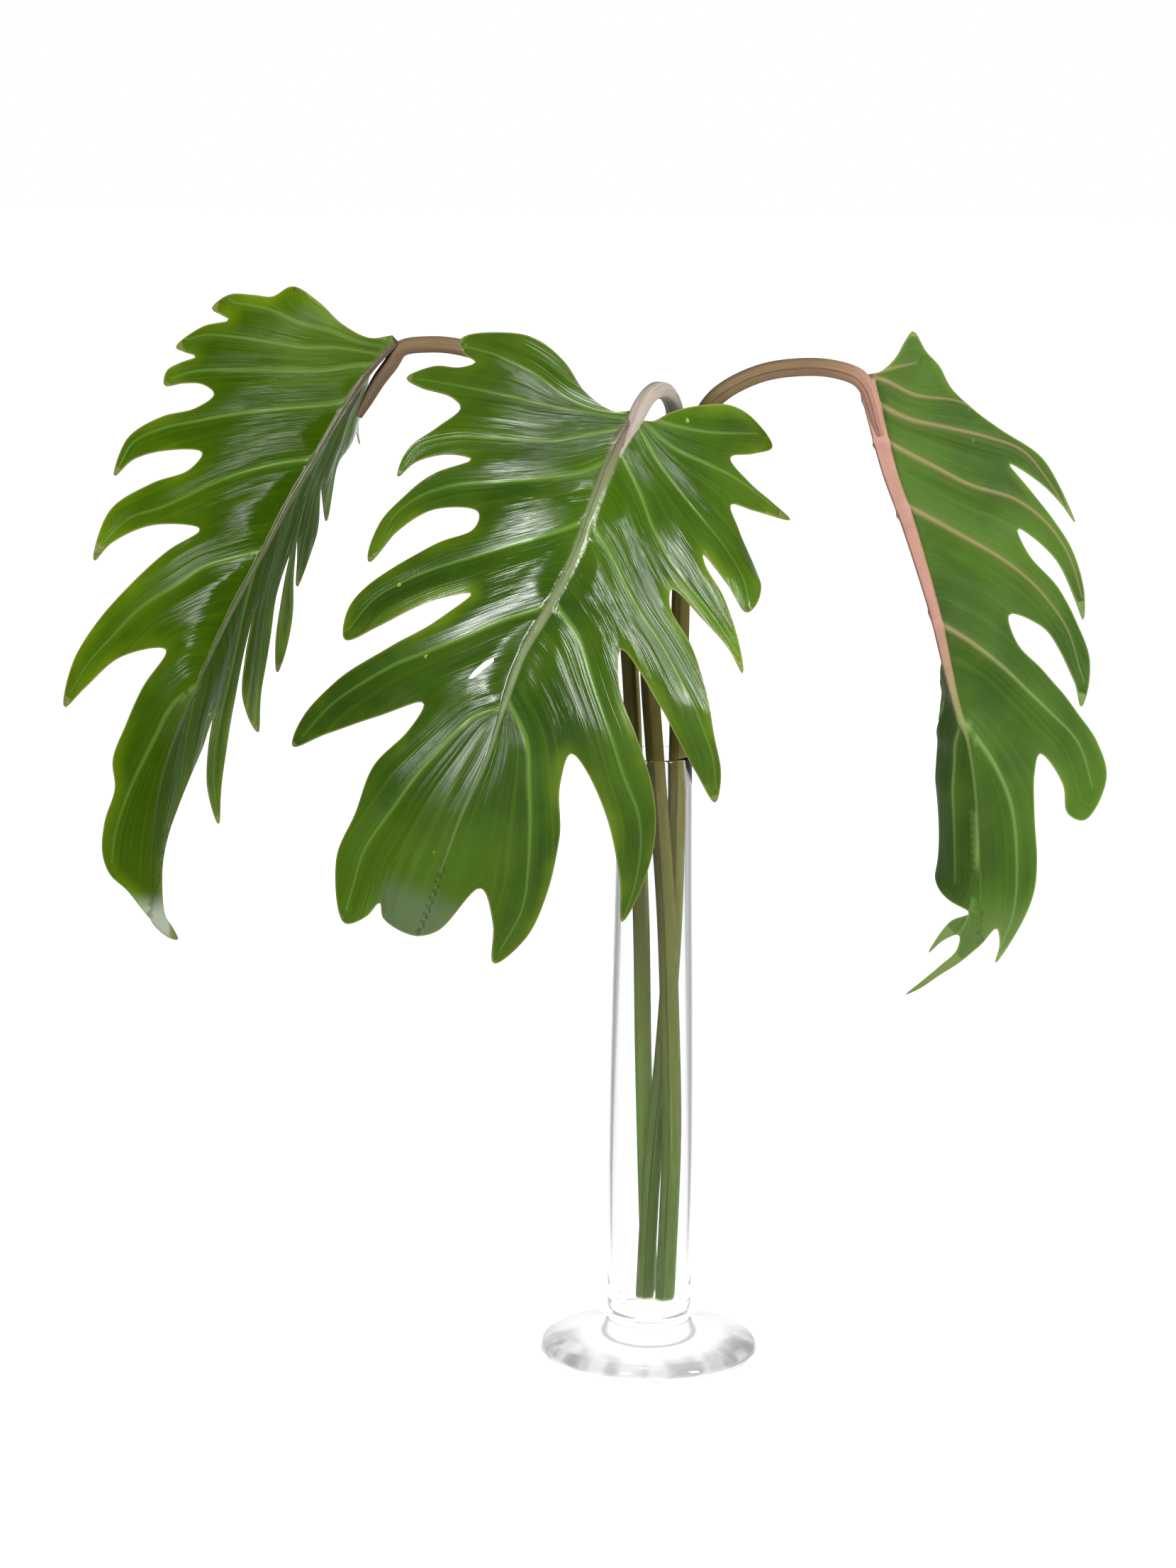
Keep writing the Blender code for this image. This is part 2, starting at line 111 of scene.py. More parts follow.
def ease(t):
    t = np.clip(t, 0.0, 1.0)
    return t * t * (3 - 2 * t)


def fromRows(x, rows, column):
    rows = np.asarray(rows, float)
    i = np.clip(np.searchsorted(rows[:, 0], x) - 1, 0, len(rows) - 2)
    t = ease((x - rows[i, 0]) / (rows[i + 1, 0] - rows[i, 0]))
    return rows[i, column] * (1 - t) + rows[i + 1, column] * t


# How far each point is from a line, on which side of it, and how far along
def nearLine(points, line):
    best = np.full(len(points), np.inf)
    side = np.ones(len(points))
    along = np.zeros(len(points))
    for i, (a, b) in enumerate(zip(line[:-1], line[1:])):
        ab = b - a
        t = np.clip(((points - a) @ ab) / max(float(ab @ ab), 1e-9), 0.0, 1.0)
        off = points - a - t[:, None] * ab
        way = np.linalg.norm(off, axis=1)
        closer = way < best
        best[closer] = way[closer]
        side[closer] = np.sign(ab[0] * off[closer, 1] - ab[1] * off[closer, 0])
        along[closer] = (i + t[closer]) / (len(line) - 1)
    return best, side, along


def insideOf(points, outline):
    found = np.zeros(len(points), bool)
    x, y = points[:, 0], points[:, 1]
    for a, b in zip(outline, np.roll(outline, -1, axis=0)):
        if a[1] == b[1]:
            continue
        crosses = (a[1] > y) != (b[1] > y)
        found ^= crosses & (x < (b[0] - a[0]) * (y - a[1]) / (b[1] - a[1]) + a[0])
    return found


def link(nodeTree, output, nextInput):
    nodeTree.links.new(output, nextInput)


# Leaves. Each blade lies flat first: u runs down the midrib from the stalk, v out to the margin.
# A lobe is (vein's root u, margin points before the tip, the tip, margin points to the next cleft).
# A fold row is (u, degrees the blade turns away from the front, degrees of curl per 100 mm).
# A paleEnd is (u where the pale tip starts, u where it is full, half its width); the tip is painted with a
# rolled lobe's underside colour and a painted sheen.
centreLeaf = {
    "midrib": [(-11, -78, 484), (-20, -92, 471), (-31, -111, 446), (-39, -123, 425), (-50, -132, 404),
               (-63, -139, 382), (-71, -144, 360), (-79, -148, 334), (-91, -150, 307), (-100, -150, 282)],
    "topInFront": True,
    "leftFold": [(-60, -12, 10), (20, 2, 14), (120, 12, 26), (240, 14, 30)],
    "rightFold": [(-70, 46, 10), (0, 42, 12), (60, 24, 12), (120, 10, 14), (240, 10, 20)],
    "leftLobes": [
        (0, [(3, 11), (-2, 28), (-13, 44), (-19, 62), (-17, 78)], (-9, 97), [(-3, 93), (0, 85)]),
        (4, [(4, 91), (6, 104)], (14, 114), [(18, 104), (20, 86), (25, 79)]),
        (9, [(36, 86), (49, 97)], (65, 99), [(55, 91), (48, 76), (48, 64)]),
        (29, [(59, 80), (72, 91), (95, 102), (113, 101)], (121, 95), [(101, 91), (80, 76), (74, 53)]),
        (62, [(84, 52), (98, 66), (121, 82), (143, 93)], (156, 89), [(145, 73), (124, 50), (116, 37)]),
        (106, [(134, 46), (152, 64), (176, 86), (201, 96)], (219, 95), [(205, 79), (186, 59), (170, 38)]),
        (158, [(186, 41), (208, 49), (232, 49), (256, 50)], (282, 35), [(275, 26), (266, 22)]),
    ],
    "tip": [(272, 18), (274, 2), (268, -9)],
    "rightLobes": [
        (0, [(-4, 9), (-16, 15), (-31, 26), (-46, 41), (-52, 56)], (-51, 74), [(-38, 66), (-24, 55)]),
        (2, [(-24, 72), (-28, 89)], (-31, 104), [(-15, 82), (-5, 68)]),
        (3, [(1, 80), (14, 97), (42, 97)], (62, 92), [(54, 77), (46, 60)]),
        (21, [(52, 63), (62, 78), (76, 91)], (90, 99), [(83, 88), (77, 70), (72, 50)]),
        (62, [(80, 52), (92, 70), (116, 92), (145, 110)], (168, 115), [(154, 98), (128, 72), (109, 39)]),
        (104, [(124, 46), (147, 64), (176, 84), (205, 97), (228, 99)], (242, 96),
         [(217, 85), (190, 64), (168, 37)]),
        (154, [(184, 37), (207, 48), (236, 53), (260, 51)], (276, 40), [(258, 33), (243, 21)]),
    ],
    "slit": [(152, -20), (148, -18.6), (142, -15), (138.5, -11.5), (140.5, -10.8), (145.5, -14), (151, -17.5)],
    "veins": {
        "leftLobes": [
            [(0, 0), (5, 16), (4, 34), (-3, 56), (-6, 77), (-6, 93)],
            [(4, 0), (8, 23), (11, 40), (12, 58), (13, 78), (14, 108)],
            [(9, 0), (21, 17), (29, 31), (35, 56), (39, 76), (47, 92), (59, 97)],
            [(29, 0), (39, 10), (47, 25), (56, 48), (64, 70), (75, 86), (92, 96), (112, 96)],
            [(62, 0), (73, 14), (86, 31), (98, 45), (111, 60), (123, 71), (135, 81), (150, 88)],
            [(106, 0), (119, 14), (134, 28), (148, 45), (160, 60), (186, 82), (211, 91)],
            [(158, 0), (167, 12), (178, 19), (198, 26), (219, 31), (246, 38), (264, 37), (275, 36)],
        ],
        "rightLobes": [
            [(0, 0), (-11, 19), (-24, 37), (-38, 52), (-48, 62)],
            [(1, 0), (-2, 25), (-11, 46), (-19, 64), (-27, 92)],
            [(3, 0), (11, 20), (15, 34), (21, 56), (27, 72), (40, 83), (57, 91)],
            [(21, 0), (34, 18), (49, 31), (59, 43), (67, 59), (74, 76), (84, 94)],
            [(62, 0), (71, 15), (80, 26), (89, 39), (97, 54), (106, 68), (120, 87), (137, 102), (159, 112)],
            [(104, 0), (114, 19), (130, 35), (152, 52), (170, 65), (185, 79), (201, 89), (220, 95), (238, 96)],
            [(154, 0), (168, 14), (186, 22), (208, 33), (228, 40), (248, 44), (268, 41)],
        ],
    },
    "ribHalfWidth": [(0, 3.4), (50, 2.9), (100, 2.4), (150, 1.6), (168, 1.0), (230, 0.7), (300, 0.4)],
    "paleEnd": (246, 262, 26),
    "quilt": 2.6,
    "wave": 1.2,
    "seed": 3,
}
leftLeaf = {
    "midrib": [(-125, 10, 504), (-137, 6, 491), (-149, 2, 475), (-165, -4, 448), (-177, -8, 428),
               (-189, -12, 405), (-203, -16, 379), (-216, -19, 352), (-232, -22, 315), (-239, -23, 292),
               (-243, -24, 264), (-244, -24, 236)],
    "topInFront": True,
    "leftFold": [(-90, 0, 18), (0, 2, 20), (150, 6, 24), (300, 10, 30)],
    "rightFold": [(-90, 108, 8), (12, 102, 8), (36, 84, 12), (60, 80, 0), (105, 68, 0), (180, 62, 0),
                  (300, 58, 4)],
    "leftLobes": [
        (0, [(8, 12), (11, 26), (10, 42)], (12, 58), [(20, 62), (24, 70)]),
        (3, [(30, 81)], (38, 84), [(38, 78), (38, 73)]),
        (8, [(46, 83)], (59, 90), [(59, 85), (58, 78)]),
        (20, [(64, 84), (70, 88)], (76, 85), [(71, 77), (67, 68), (68, 60)]),
        (39, [(78, 65), (89, 78), (106, 89)], (124, 86), [(113, 81), (102, 68), (94, 50)]),
        (71, [(104, 52), (118, 66), (139, 79)], (163, 74), [(152, 70), (135, 55), (126, 33)]),
        (121, [(142, 42), (164, 51), (188, 59), (208, 62)], (226, 58), [(215, 51), (196, 40), (184, 21)]),
        (194, [(204, 24), (224, 25), (240, 26), (252, 22), (268, 25), (283, 25)], (292, 21), [(299, 12)]),
    ],
    "tip": [(308, 4), (318, -6), (325, -17), (327, -24), (320, -19), (312, -12)],
    "rightLobes": [
        (0, [(2, 16), (0, 36), (6, 58), (20, 78)], (49, 86), [(46, 68), (53, 52)]),
        (6, [(64, 42), (78, 48)], (94, 51), [(86, 38), (80, 28)]),
        (24, [(97, 42), (116, 50)], (131, 52), [(118, 38), (108, 26)]),
        (45, [(126, 42), (144, 59), (162, 67)], (178, 69), [(164, 56), (140, 42), (117, 27)]),
        (78, [(136, 33), (158, 46), (190, 62)], (215, 77), [(195, 47), (173, 32), (151, 21)]),
        (128, [(172, 29), (200, 42), (230, 53), (256, 57)], (272, 58), [(252, 45), (229, 36), (209, 28)]),
        (190, [(226, 29), (243, 25), (258, 19)], (272, 13), [(290, 9)]),
    ],
    "slit": None,
    "veins": {
        "leftLobes": [
            [(1, 0), (8, 14), (10, 30), (11, 48)],
            [(4, 0), (12, 13), (17, 29), (22, 43), (25, 59), (31, 76)],
            [(9, 0), (20, 20), (29, 33), (36, 49), (42, 65), (48, 79), (54, 87)],
            [(15, 0), (21, 7), (33, 20), (46, 42), (54, 57), (64, 75), (71, 83)],
            [(37, 0), (45, 9), (57, 26), (71, 46), (82, 60), (93, 74), (106, 85), (118, 86)],
            [(69, 0), (79, 13), (90, 25), (104, 38), (125, 55), (138, 68), (152, 73)],
            [(119, 0), (130, 12), (140, 22), (154, 30), (171, 41), (191, 49), (204, 54), (218, 57)],
            [(193, 0), (206, 7), (222, 9), (235, 11), (253, 15), (272, 19), (286, 20)],
        ],
    },
    "ribHalfWidth": [(0, 2.8), (60, 2.1), (140, 1.4), (200, 0.9), (320, 0.4)],
    "paleEnd": (298, 312, 20),
    "quilt": 2.4,
    "wave": 1.0,
    "seed": 8,
}
rightLeaf = {
    "midrib": [(98, -8, 492), (104, -10, 470), (111, -11, 446), (120, -11, 422), (128, -10, 398),
               (135, -8, 375), (141, -6, 351), (147, -4, 328), (151, -3, 316), (155, -1, 295),
               (158, 1, 268), (160, 3, 240), (160, 4, 226)],
    "topInFront": False,
    "leftFold": [(-40, 112, 0), (20, 108, 0), (90, 98, 0), (145, 90, 10), (172, 76, 30), (194, 45, 120),
                 (218, 22, 190), (268, 20, 190), (288, 20, 40), (350, 15, 20)],
    "rightFold": [(-80, 20, 12), (0, 22, 12), (138, 20, 16), (276, 14, 24)],
    "leftLobes": [
        (0, [(2, 10), (2, 22), (4, 40), (8, 58)], (16, 72), [(22, 62), (26, 52)]),
        (10, [(36, 66), (52, 79)], (72, 85), [(62, 70), (56, 54)]),
        (32, [(74, 62), (94, 76)], (118, 84), [(108, 68), (92, 46)]),
        (68, [(110, 54), (132, 68)], (160, 76), [(148, 60), (128, 36)]),
        (120, [(146, 44), (172, 58), (194, 68)], (210, 70), [(196, 56), (176, 34)]),
        (176, [(198, 42), (222, 50), (246, 56)], (262, 50), [(268, 34), (273, 18), (277, 5)]),
        (225, [(283, 15)], (301, 26), [(293, 18), (289, 10)]),
    ],
    "tip": [(297, 11), (306, 19), (316, 29), (324, 37), (320, 30), (311, 19), (303, 9), (292, -2)],
    "rightLobes": [
        (0, [(0, 9), (-4, 18), (-11, 26)], (-14, 31), [(-3, 35), (6, 40), (18, 43), (33, 52)]),
        (15, [(48, 63), (70, 79), (89, 84)], (107, 86), [(97, 82), (84, 75), (67, 61)]),
        (34, [(85, 68), (102, 75), (118, 80), (140, 81)], (152, 77), [(141, 75), (118, 69), (98, 54)]),
        (68, [(112, 56), (132, 67), (152, 73), (172, 75)], (190, 63),
         [(178, 63), (162, 60), (148, 54), (135, 37)]),
        (126, [(150, 38), (167, 48), (191, 60), (207, 69), (223, 72)], (239, 58),
         [(234, 48), (221, 47), (204, 36)]),
        (184, [(212, 32), (232, 30), (254, 30), (270, 28), (286, 21)], (303, 9), [(294, 11), (285, 9)]),
    ],
    "slit": None,
    "veins": {
        "leftLobes": [
            [(0, 0), (6, 20), (12, 45), (15, 62)],
            [(10, 0), (30, 30), (52, 58), (68, 78)],
            [(32, 0), (58, 30), (86, 54), (112, 78)],
            [(68, 0), (95, 28), (124, 52), (154, 70)],
            [(120, 0), (150, 28), (178, 48), (204, 64)],
            [(176, 0), (190, 9), (210, 12), (235, 13), (262, 14)],
            [(225, 0), (256, 2), (285, 8), (298, 20)],
        ],
        "rightLobes": [
            [(0, 0), (0, 12), (1, 28)],
            [(1, 0), (4, 8), (16, 23), (25, 43), (31, 51)],
            [(12, 0), (26, 16), (37, 35), (49, 54), (63, 70), (82, 78), (99, 83)],
            [(31, 0), (51, 20), (69, 37), (84, 57), (101, 70), (120, 77), (141, 79)],
            [(64, 0), (87, 21), (111, 43), (133, 58), (155, 67), (178, 68)],
            [(126, 0), (141, 14), (161, 29), (184, 43), (205, 58), (225, 63)],
            [(177, 0), (189, 5), (205, 12), (226, 18), (254, 19), (280, 17), (296, 11)],
        ],
    },
    "ribHalfWidth": [(0, 4.0), (60, 2.9), (125, 2.1), (172, 1.4), (195, 0.8), (300, 0.4)],
    "paleEnd": (262, 290, 30),
    "quilt": 2.2,
    "wave": 1.0,
    "seed": 5,
}
bladeMake = {
    "turnSmoothing": 24.0,
    "thickness": 0.65,
    "grid": 2.3,
    "marginStep": 1.8,
    "midribDepth": (4.6, 1.0),
    "midribRise": 0.55,
    "veinHalfWidth": (1.05, 0.35),
    "veinGroove": 0.55,
    "veinRidge": 0.75,
    "quiltWidth": 9.0,
    "ripple": 0.22,
    "marginFade": 10.0,
    "baseHalfWidth": 4.5,
}


# Carries flat points (u, v) to their places in the bent, folded leaf
class LeafShape:
    def __init__(self, leaf):
        self.leaf = leaf
        self.path = evenly(smoothPath(leaf["midrib"], 12), 1.2)
        steps = np.linalg.norm(np.diff(self.path, axis=0), axis=1)
        self.way = np.concatenate([[0.0], np.cumsum(steps)])
        self.length = self.way[-1]
        self.tangents = self.evenTurning(unit(np.gradient(self.path, axis=0)))

    # The midrib's directions averaged over a stretch, so that the halves beside it don't fold up
    def evenTurning(self, tangents):
        step = self.length / (len(tangents) - 1)
        count = int(3 * bladeMake["turnSmoothing"] / step)
        weights = np.exp(-0.5 * (np.arange(-count, count + 1) * step / bladeMake["turnSmoothing"]) ** 2)
        before = 2 * tangents[0] - tangents[count:0:-1]
        after = 2 * tangents[-1] - tangents[-2:-count - 2:-1]
        padded = np.vstack([before, tangents, after])
        even = [np.convolve(padded[:, k], weights / weights.sum(), "valid") for k in range(3)]
        return unit(np.stack(even, axis=1))

    def midrib(self, u):
        near = np.clip(u, 0.0, self.length)
        place = np.stack([np.interp(near, self.way, self.path[:, k]) for k in range(3)], axis=1)
        tangent = unit(np.stack([np.interp(near, self.way, self.tangents[:, k]) for k in range(3)], axis=1))
        return place + tangent * (u - near)[:, None], tangent

    def sheet(self, u, v):
        place, tangent = self.midrib(u)
        out = place.copy()
        for sign, rows in ((-1, self.leaf["leftFold"]), (1, self.leaf["rightFold"])):
            half = np.sign(v) == sign
            t = tangent[half]
            across = np.array([float(sign), 0.0, 0.0])
            across = unit(across - t * (t @ across)[:, None])
            away = np.cross(t, across)
            away *= np.sign(away[:, 1])[:, None]
            start = np.radians(fromRows(u[half], rows, 1))
            curl = np.radians(fromRows(u[half], rows, 2)) / 100 + 1e-7
            end = start + curl * np.abs(v[half])
            out[half] += across * ((np.sin(end) - np.sin(start)) / curl)[:, None]
            out[half] += away * ((np.cos(start) - np.cos(end)) / curl)[:, None]
        return out

    # On the front; close to the midrib the two halves' normals are blended
    def frontNormals(self, u, v):
        def oneSide(side):
            w = side * np.maximum(np.abs(v), 1.0)
            alongU = self.sheet(u + 0.5, w) - self.sheet(u - 0.5, w)
            alongV = self.sheet(u, w + 0.5) - self.sheet(u, w - 0.5)
            return unit(np.cross(alongU, alongV))
        share = ease(0.5 + v / 6.0)[:, None]
        return unit(oneSide(-1.0) * (1 - share) + oneSide(1.0) * share)


def flatMargin(leaf):
    def points(lobes, sign):
        return [(u, sign * v) for _, before, tip, after in lobes for u, v in [*before, tip, *after]]
    left = points(leaf["leftLobes"], -1)
    right = points(leaf["rightLobes"], 1)[::-1]
    tip = [(u, -v) for u, v in leaf["tip"]]
    base = bladeMake["baseHalfWidth"]
    return evenly(smoothPath([(0, -base), *left, *tip, *right, (0, base)], 10), bladeMake["marginStep"])


# Side veins in order of their roots: the ones drawn for the leaf, or else one through each lobe's neck
def flatVeins(leaf, sign, side):
    drawn = leaf["veins"].get(side)
    if drawn:
        return [evenly(smoothPath([(a, sign * b) for a, b in line], 12), 2.0) for line in drawn]
    veins = []
    cleft = None
    for root, before, tip, after in leaf[side]:
        above = cleft or before[len(before) // 2]
        cleft = after[-1]
        neck = (0.5 * (above[0] + cleft[0]), 0.5 * (above[1] + cleft[1]))
        line = smoothPath([(root, 0.0), (neck[0], sign * neck[1]), (tip[0], sign * tip[1])], 16)
        line = evenly(line, 2.0)
        veins.append(line[:max(4, int(len(line) * 0.96))])
    return veins


def halfWidth(pair, share):
    return pair[0] + (pair[1] - pair[0]) * np.clip(share, 0.0, 1.0)


def offsetRow(line, offsets):
    along = unit(np.gradient(line, axis=0))
    return line + np.stack([-along[:, 1], along[:, 0]], axis=1) * offsets[:, None]


# The stretches of a row of points that lie inside the blade, clear of its margin
def runsInside(row, outline, clear):
    good = insideOf(row, outline) & (nearLine(row, np.vstack([outline, outline[:1]]))[0] > clear)
    runs = []
    run = []
    for point, ok in zip(row, good):
        if ok:
            run.append(point)
        elif len(run) > 1:
            runs.append(np.array(run))
            run = []
        else:
            run = []
    if len(run) > 1:
        runs.append(np.array(run))
    return runs


# The flat blade as triangles, with rows of points along the midrib and veins
def flatTriangles(leaf, shape):
    outline = flatMargin(leaf)
    lines = []
    stations = np.arange(0.0, shape.length, 2.4)
    spine = np.stack([stations, 0 * stations], axis=1)
    wide = fromRows(stations, leaf["ribHalfWidth"], 1)
    for share in (0.0, 0.45, 0.85, 1.15, 1.7):
        for sign in ((-1, 1) if share else (1,)):
            lines += runsInside(offsetRow(spine, sign * share * wide), outline, 0.7)
    veins = {}
    for sign, side in ((-1, "leftLobes"), (1, "rightLobes")):
        veins[side] = flatVeins(leaf, sign, side)
        for vein in veins[side]:
            share = np.linspace(0.0, 1.0, len(vein))
            wide = halfWidth(bladeMake["veinHalfWidth"], share)
            for offset in (-1.9, -0.8, 0.0, 0.8, 1.9):
                row = offsetRow(vein, offset * wide)
                row = row[np.abs(row[:, 1]) > 4.0]
                if len(row) > 1:
                    lines += runsInside(row, outline, 0.7)
    points = list(outline)
    edges = [(i, (i + 1) % len(outline)) for i in range(len(outline))]
    for line in lines:
        first = len(points)
        points += list(line)
        edges += [(first + i, first + i + 1) for i in range(len(line) - 1)]
    if leaf["slit"]:
        slit = evenly(np.array([*leaf["slit"], leaf["slit"][0]], float), 1.0)[:-1]
        first = len(points)
        points += list(slit)
        edges += [(first + i, first + (i + 1) % len(slit)) for i in range(len(slit))]
    step = bladeMake["grid"]
    low, high = outline.min(axis=0), outline.max(axis=0)
    levels = np.arange(low[0], high[0], step * math.sqrt(0.75))
    grid = np.array([
        (a, b + (i % 2) * step / 2) for i, a in enumerate(levels) for b in np.arange(low[1], high[1], step)
    ])
    taken = np.array(points)
    cell = step * 0.62
    near = {tuple(c) for c in np.floor(taken / cell).astype(int)}
    cells = np.floor(grid / cell).astype(int)
    free = np.array([not any((a + i, b + j) in near for i in (-1, 0, 1) for j in (-1, 0, 1)) for a, b in cells])
    grid = grid[free & insideOf(grid, outline)]
    points += list(grid)
    made = delaunay_2d_cdt([tuple(p) for p in points], edges, [], 1, 1e-4)
    flat = np.array([tuple(p) for p in made[0]])
    faces = np.array(made[2])
    if leaf["slit"]:
        middle = flat[faces].mean(axis=1)
        faces = faces[~insideOf(middle, slit)]
    return flat, faces, outline, veins


# One blade: upper and under skins with a rim between, veins sunk above and raised below
def makeLeaf(name, leaf, materials):
    shape = LeafShape(leaf)
    flat, faces, outline, veins = flatTriangles(leaf, shape)
    used = np.unique(faces)
    number = np.full(len(flat), -1)
    number[used] = np.arange(len(used))
    flat, faces = flat[used], number[faces]
    u, v = flat.T

    edge = nearLine(flat, np.vstack([outline, outline[:1]]))[0]
    share = np.clip(u / shape.length, 0.0, 1.0)
    ribWide = fromRows(u, leaf["ribHalfWidth"], 1)
    toRib = np.where(u < 0, np.hypot(u, v), np.abs(v))
    veinHeight = np.zeros(len(flat))
    veinMark = np.zeros(len(flat))
    nearest = toRib.copy()
    stripe = np.zeros(len(flat))
    for sign, side in ((-1, "leftLobes"), (1, "rightLobes")):
        half = np.flatnonzero((np.sign(v) == sign) | ((v == 0) & (sign > 0)))
        reads = [nearLine(flat[half], vein) for vein in veins[side]]
        ways = np.array([r[0] for r in reads])
        sides = np.array([r[1] for r in reads]) * sign
        alongs = np.array([r[2] for r in reads])
        k = ways.argmin(axis=0)
        pick = np.arange(len(half))
        way, beyond, along = ways[k, pick], sides[k, pick], alongs[k, pick]
        tipward = -beyond
        other = k + np.where(tipward > 0, 1, -1)
        toOther = ways[np.clip(other, 0, len(ways) - 1), pick]
        toOther = np.where(other < 0, 30.0, toOther)
        toOther = np.where(other >= len(ways), toRib[half] + 0.5, toOther)
        stripe[half] = sign * (k + 2 + np.sign(tipward) * way / (way + toOther + 1e-6))
        wide = halfWidth(bladeMake["veinHalfWidth"], along)
        veinHeight[half] = np.exp(-((way / wide) ** 2)) * (1 - 0.75 * along)
        veinMark[half] = np.exp(-((way / (wide * 1.25)) ** 2)) * (1 - 0.45 * along)
        nearest[half] = np.minimum(nearest[half], way)
    ribMark = np.clip(1.25 - toRib / ribWide, 0.0, 1.0) * (u > -1) * ease((shape.length + 8 - u) / 20)
    thick = np.clip(ribWide / 1.2, 0.0, 1.0) ** 2
    ribMark = ease(ribMark * 1.6) * thick
    ribArch = np.sqrt(np.clip(1 - (toRib / ribWide) ** 2, 0.0, 1.0)) * (u > -1) * thick ** 2

    rng = np.random.default_rng(leaf["seed"])
    wave = np.zeros(len(flat))
    for _ in range(7):
        a, b, c = rng.uniform(-0.06, 0.06), rng.uniform(-0.06, 0.06), rng.uniform(0, 6.3)
        wave += np.sin(a * u + b * v + c) / 7
    quilt = 1 - np.exp(-((nearest / bladeMake["quiltWidth"]) ** 2))
    quilt *= 1 - np.exp(-edge / bladeMake["marginFade"])
    ripple = 0.5 - 0.5 * np.cos(stripe * 2 * math.pi * 4)
    ripple *= np.clip((nearest - 2) / 6, 0, 1) * np.clip(edge / 8, 0, 1)
    rise = leaf["quilt"] * quilt + bladeMake["ripple"] * ripple
    rise += leaf["wave"] * wave * np.clip(toRib / 25, 0, 1)
    above = -bladeMake["veinGroove"] * veinHeight * (1 - ribMark) + bladeMake["midribRise"] * ribArch
    below = bladeMake["veinRidge"] * veinHeight + halfWidth(bladeMake["midribDepth"], share) * ribArch
    below += bladeMake["thickness"] * (0.75 + 0.25 * np.clip(edge / 3, 0, 1))

    topSign = 1 if leaf["topInFront"] else -1
    upward = shape.frontNormals(u, v) * topSign
    middle = shape.sheet(u, v) + upward * rise[:, None]
    upper = middle + upward * above[:, None]
    lower = middle - upward * below[:, None]
    top = faces if topSign > 0 else faces[:, ::-1]
    count = len(flat)
    ends = np.concatenate([top[:, [0, 1]], top[:, [1, 2]], top[:, [2, 0]]])
    known = {tuple(e) for e in ends}
    rim = [(a, b) for a, b in ends if (b, a) not in known]
    rimFaces = [(b, a, a + count, b + count) for a, b in rim]
    allFaces = [tuple(f) for f in top] + [tuple(f[::-1] + count) for f in top] + rimFaces

    mesh = bpy.data.meshes.new(name)
    mesh.from_pydata((np.vstack([upper, lower]) * mm).tolist(), [], allFaces)
    for material in materials:
        mesh.materials.append(material)
    slots = np.zeros(len(allFaces), np.int32)
    slots[len(top):2 * len(top)] = 1
    mesh.polygons.foreach_set("material_index", slots)
    mesh.polygons.foreach_set("use_smooth", np.ones(len(allFaces), bool))
    mesh.set_sharp_from_angle(angle=math.radians(62))
    away = np.clip(toRib / 5.0, 0.0, 1.0)
    # Mask of the blade's end, where a rolled lobe's underside colour and a painted sheen are mixed in
    start, end, half = leaf["paleEnd"]
    turned = ease((u - start) / (end - start)) * ease((half - np.abs(v)) / 7)
    values = {"edge": edge, "vein": veinMark, "rib": ribMark, "stripe": stripe, "share": share, "away": away,
              "turned": turned}
    for key, value in values.items():
        mark = mesh.attributes.new(key, "FLOAT", "POINT")
        mark.data.foreach_set("value", np.tile(value, 2).astype(np.float32))
    layout = mesh.uv_layers.new(name="flatLeaf")
    corners = np.empty(len(mesh.loops), np.int32)
    mesh.loops.foreach_get("vertex_index", corners)
    spot = np.tile(flat, (2, 1))[corners] / 400 + 0.35
    layout.data.foreach_set("uv", spot.astype(np.float32).ravel())
    mesh.update()
    piece = bpy.data.objects.new(name, mesh)
    scene.collection.objects.link(piece)
    print(name, "points", count * 2, "faces", len(allFaces))
    return piece


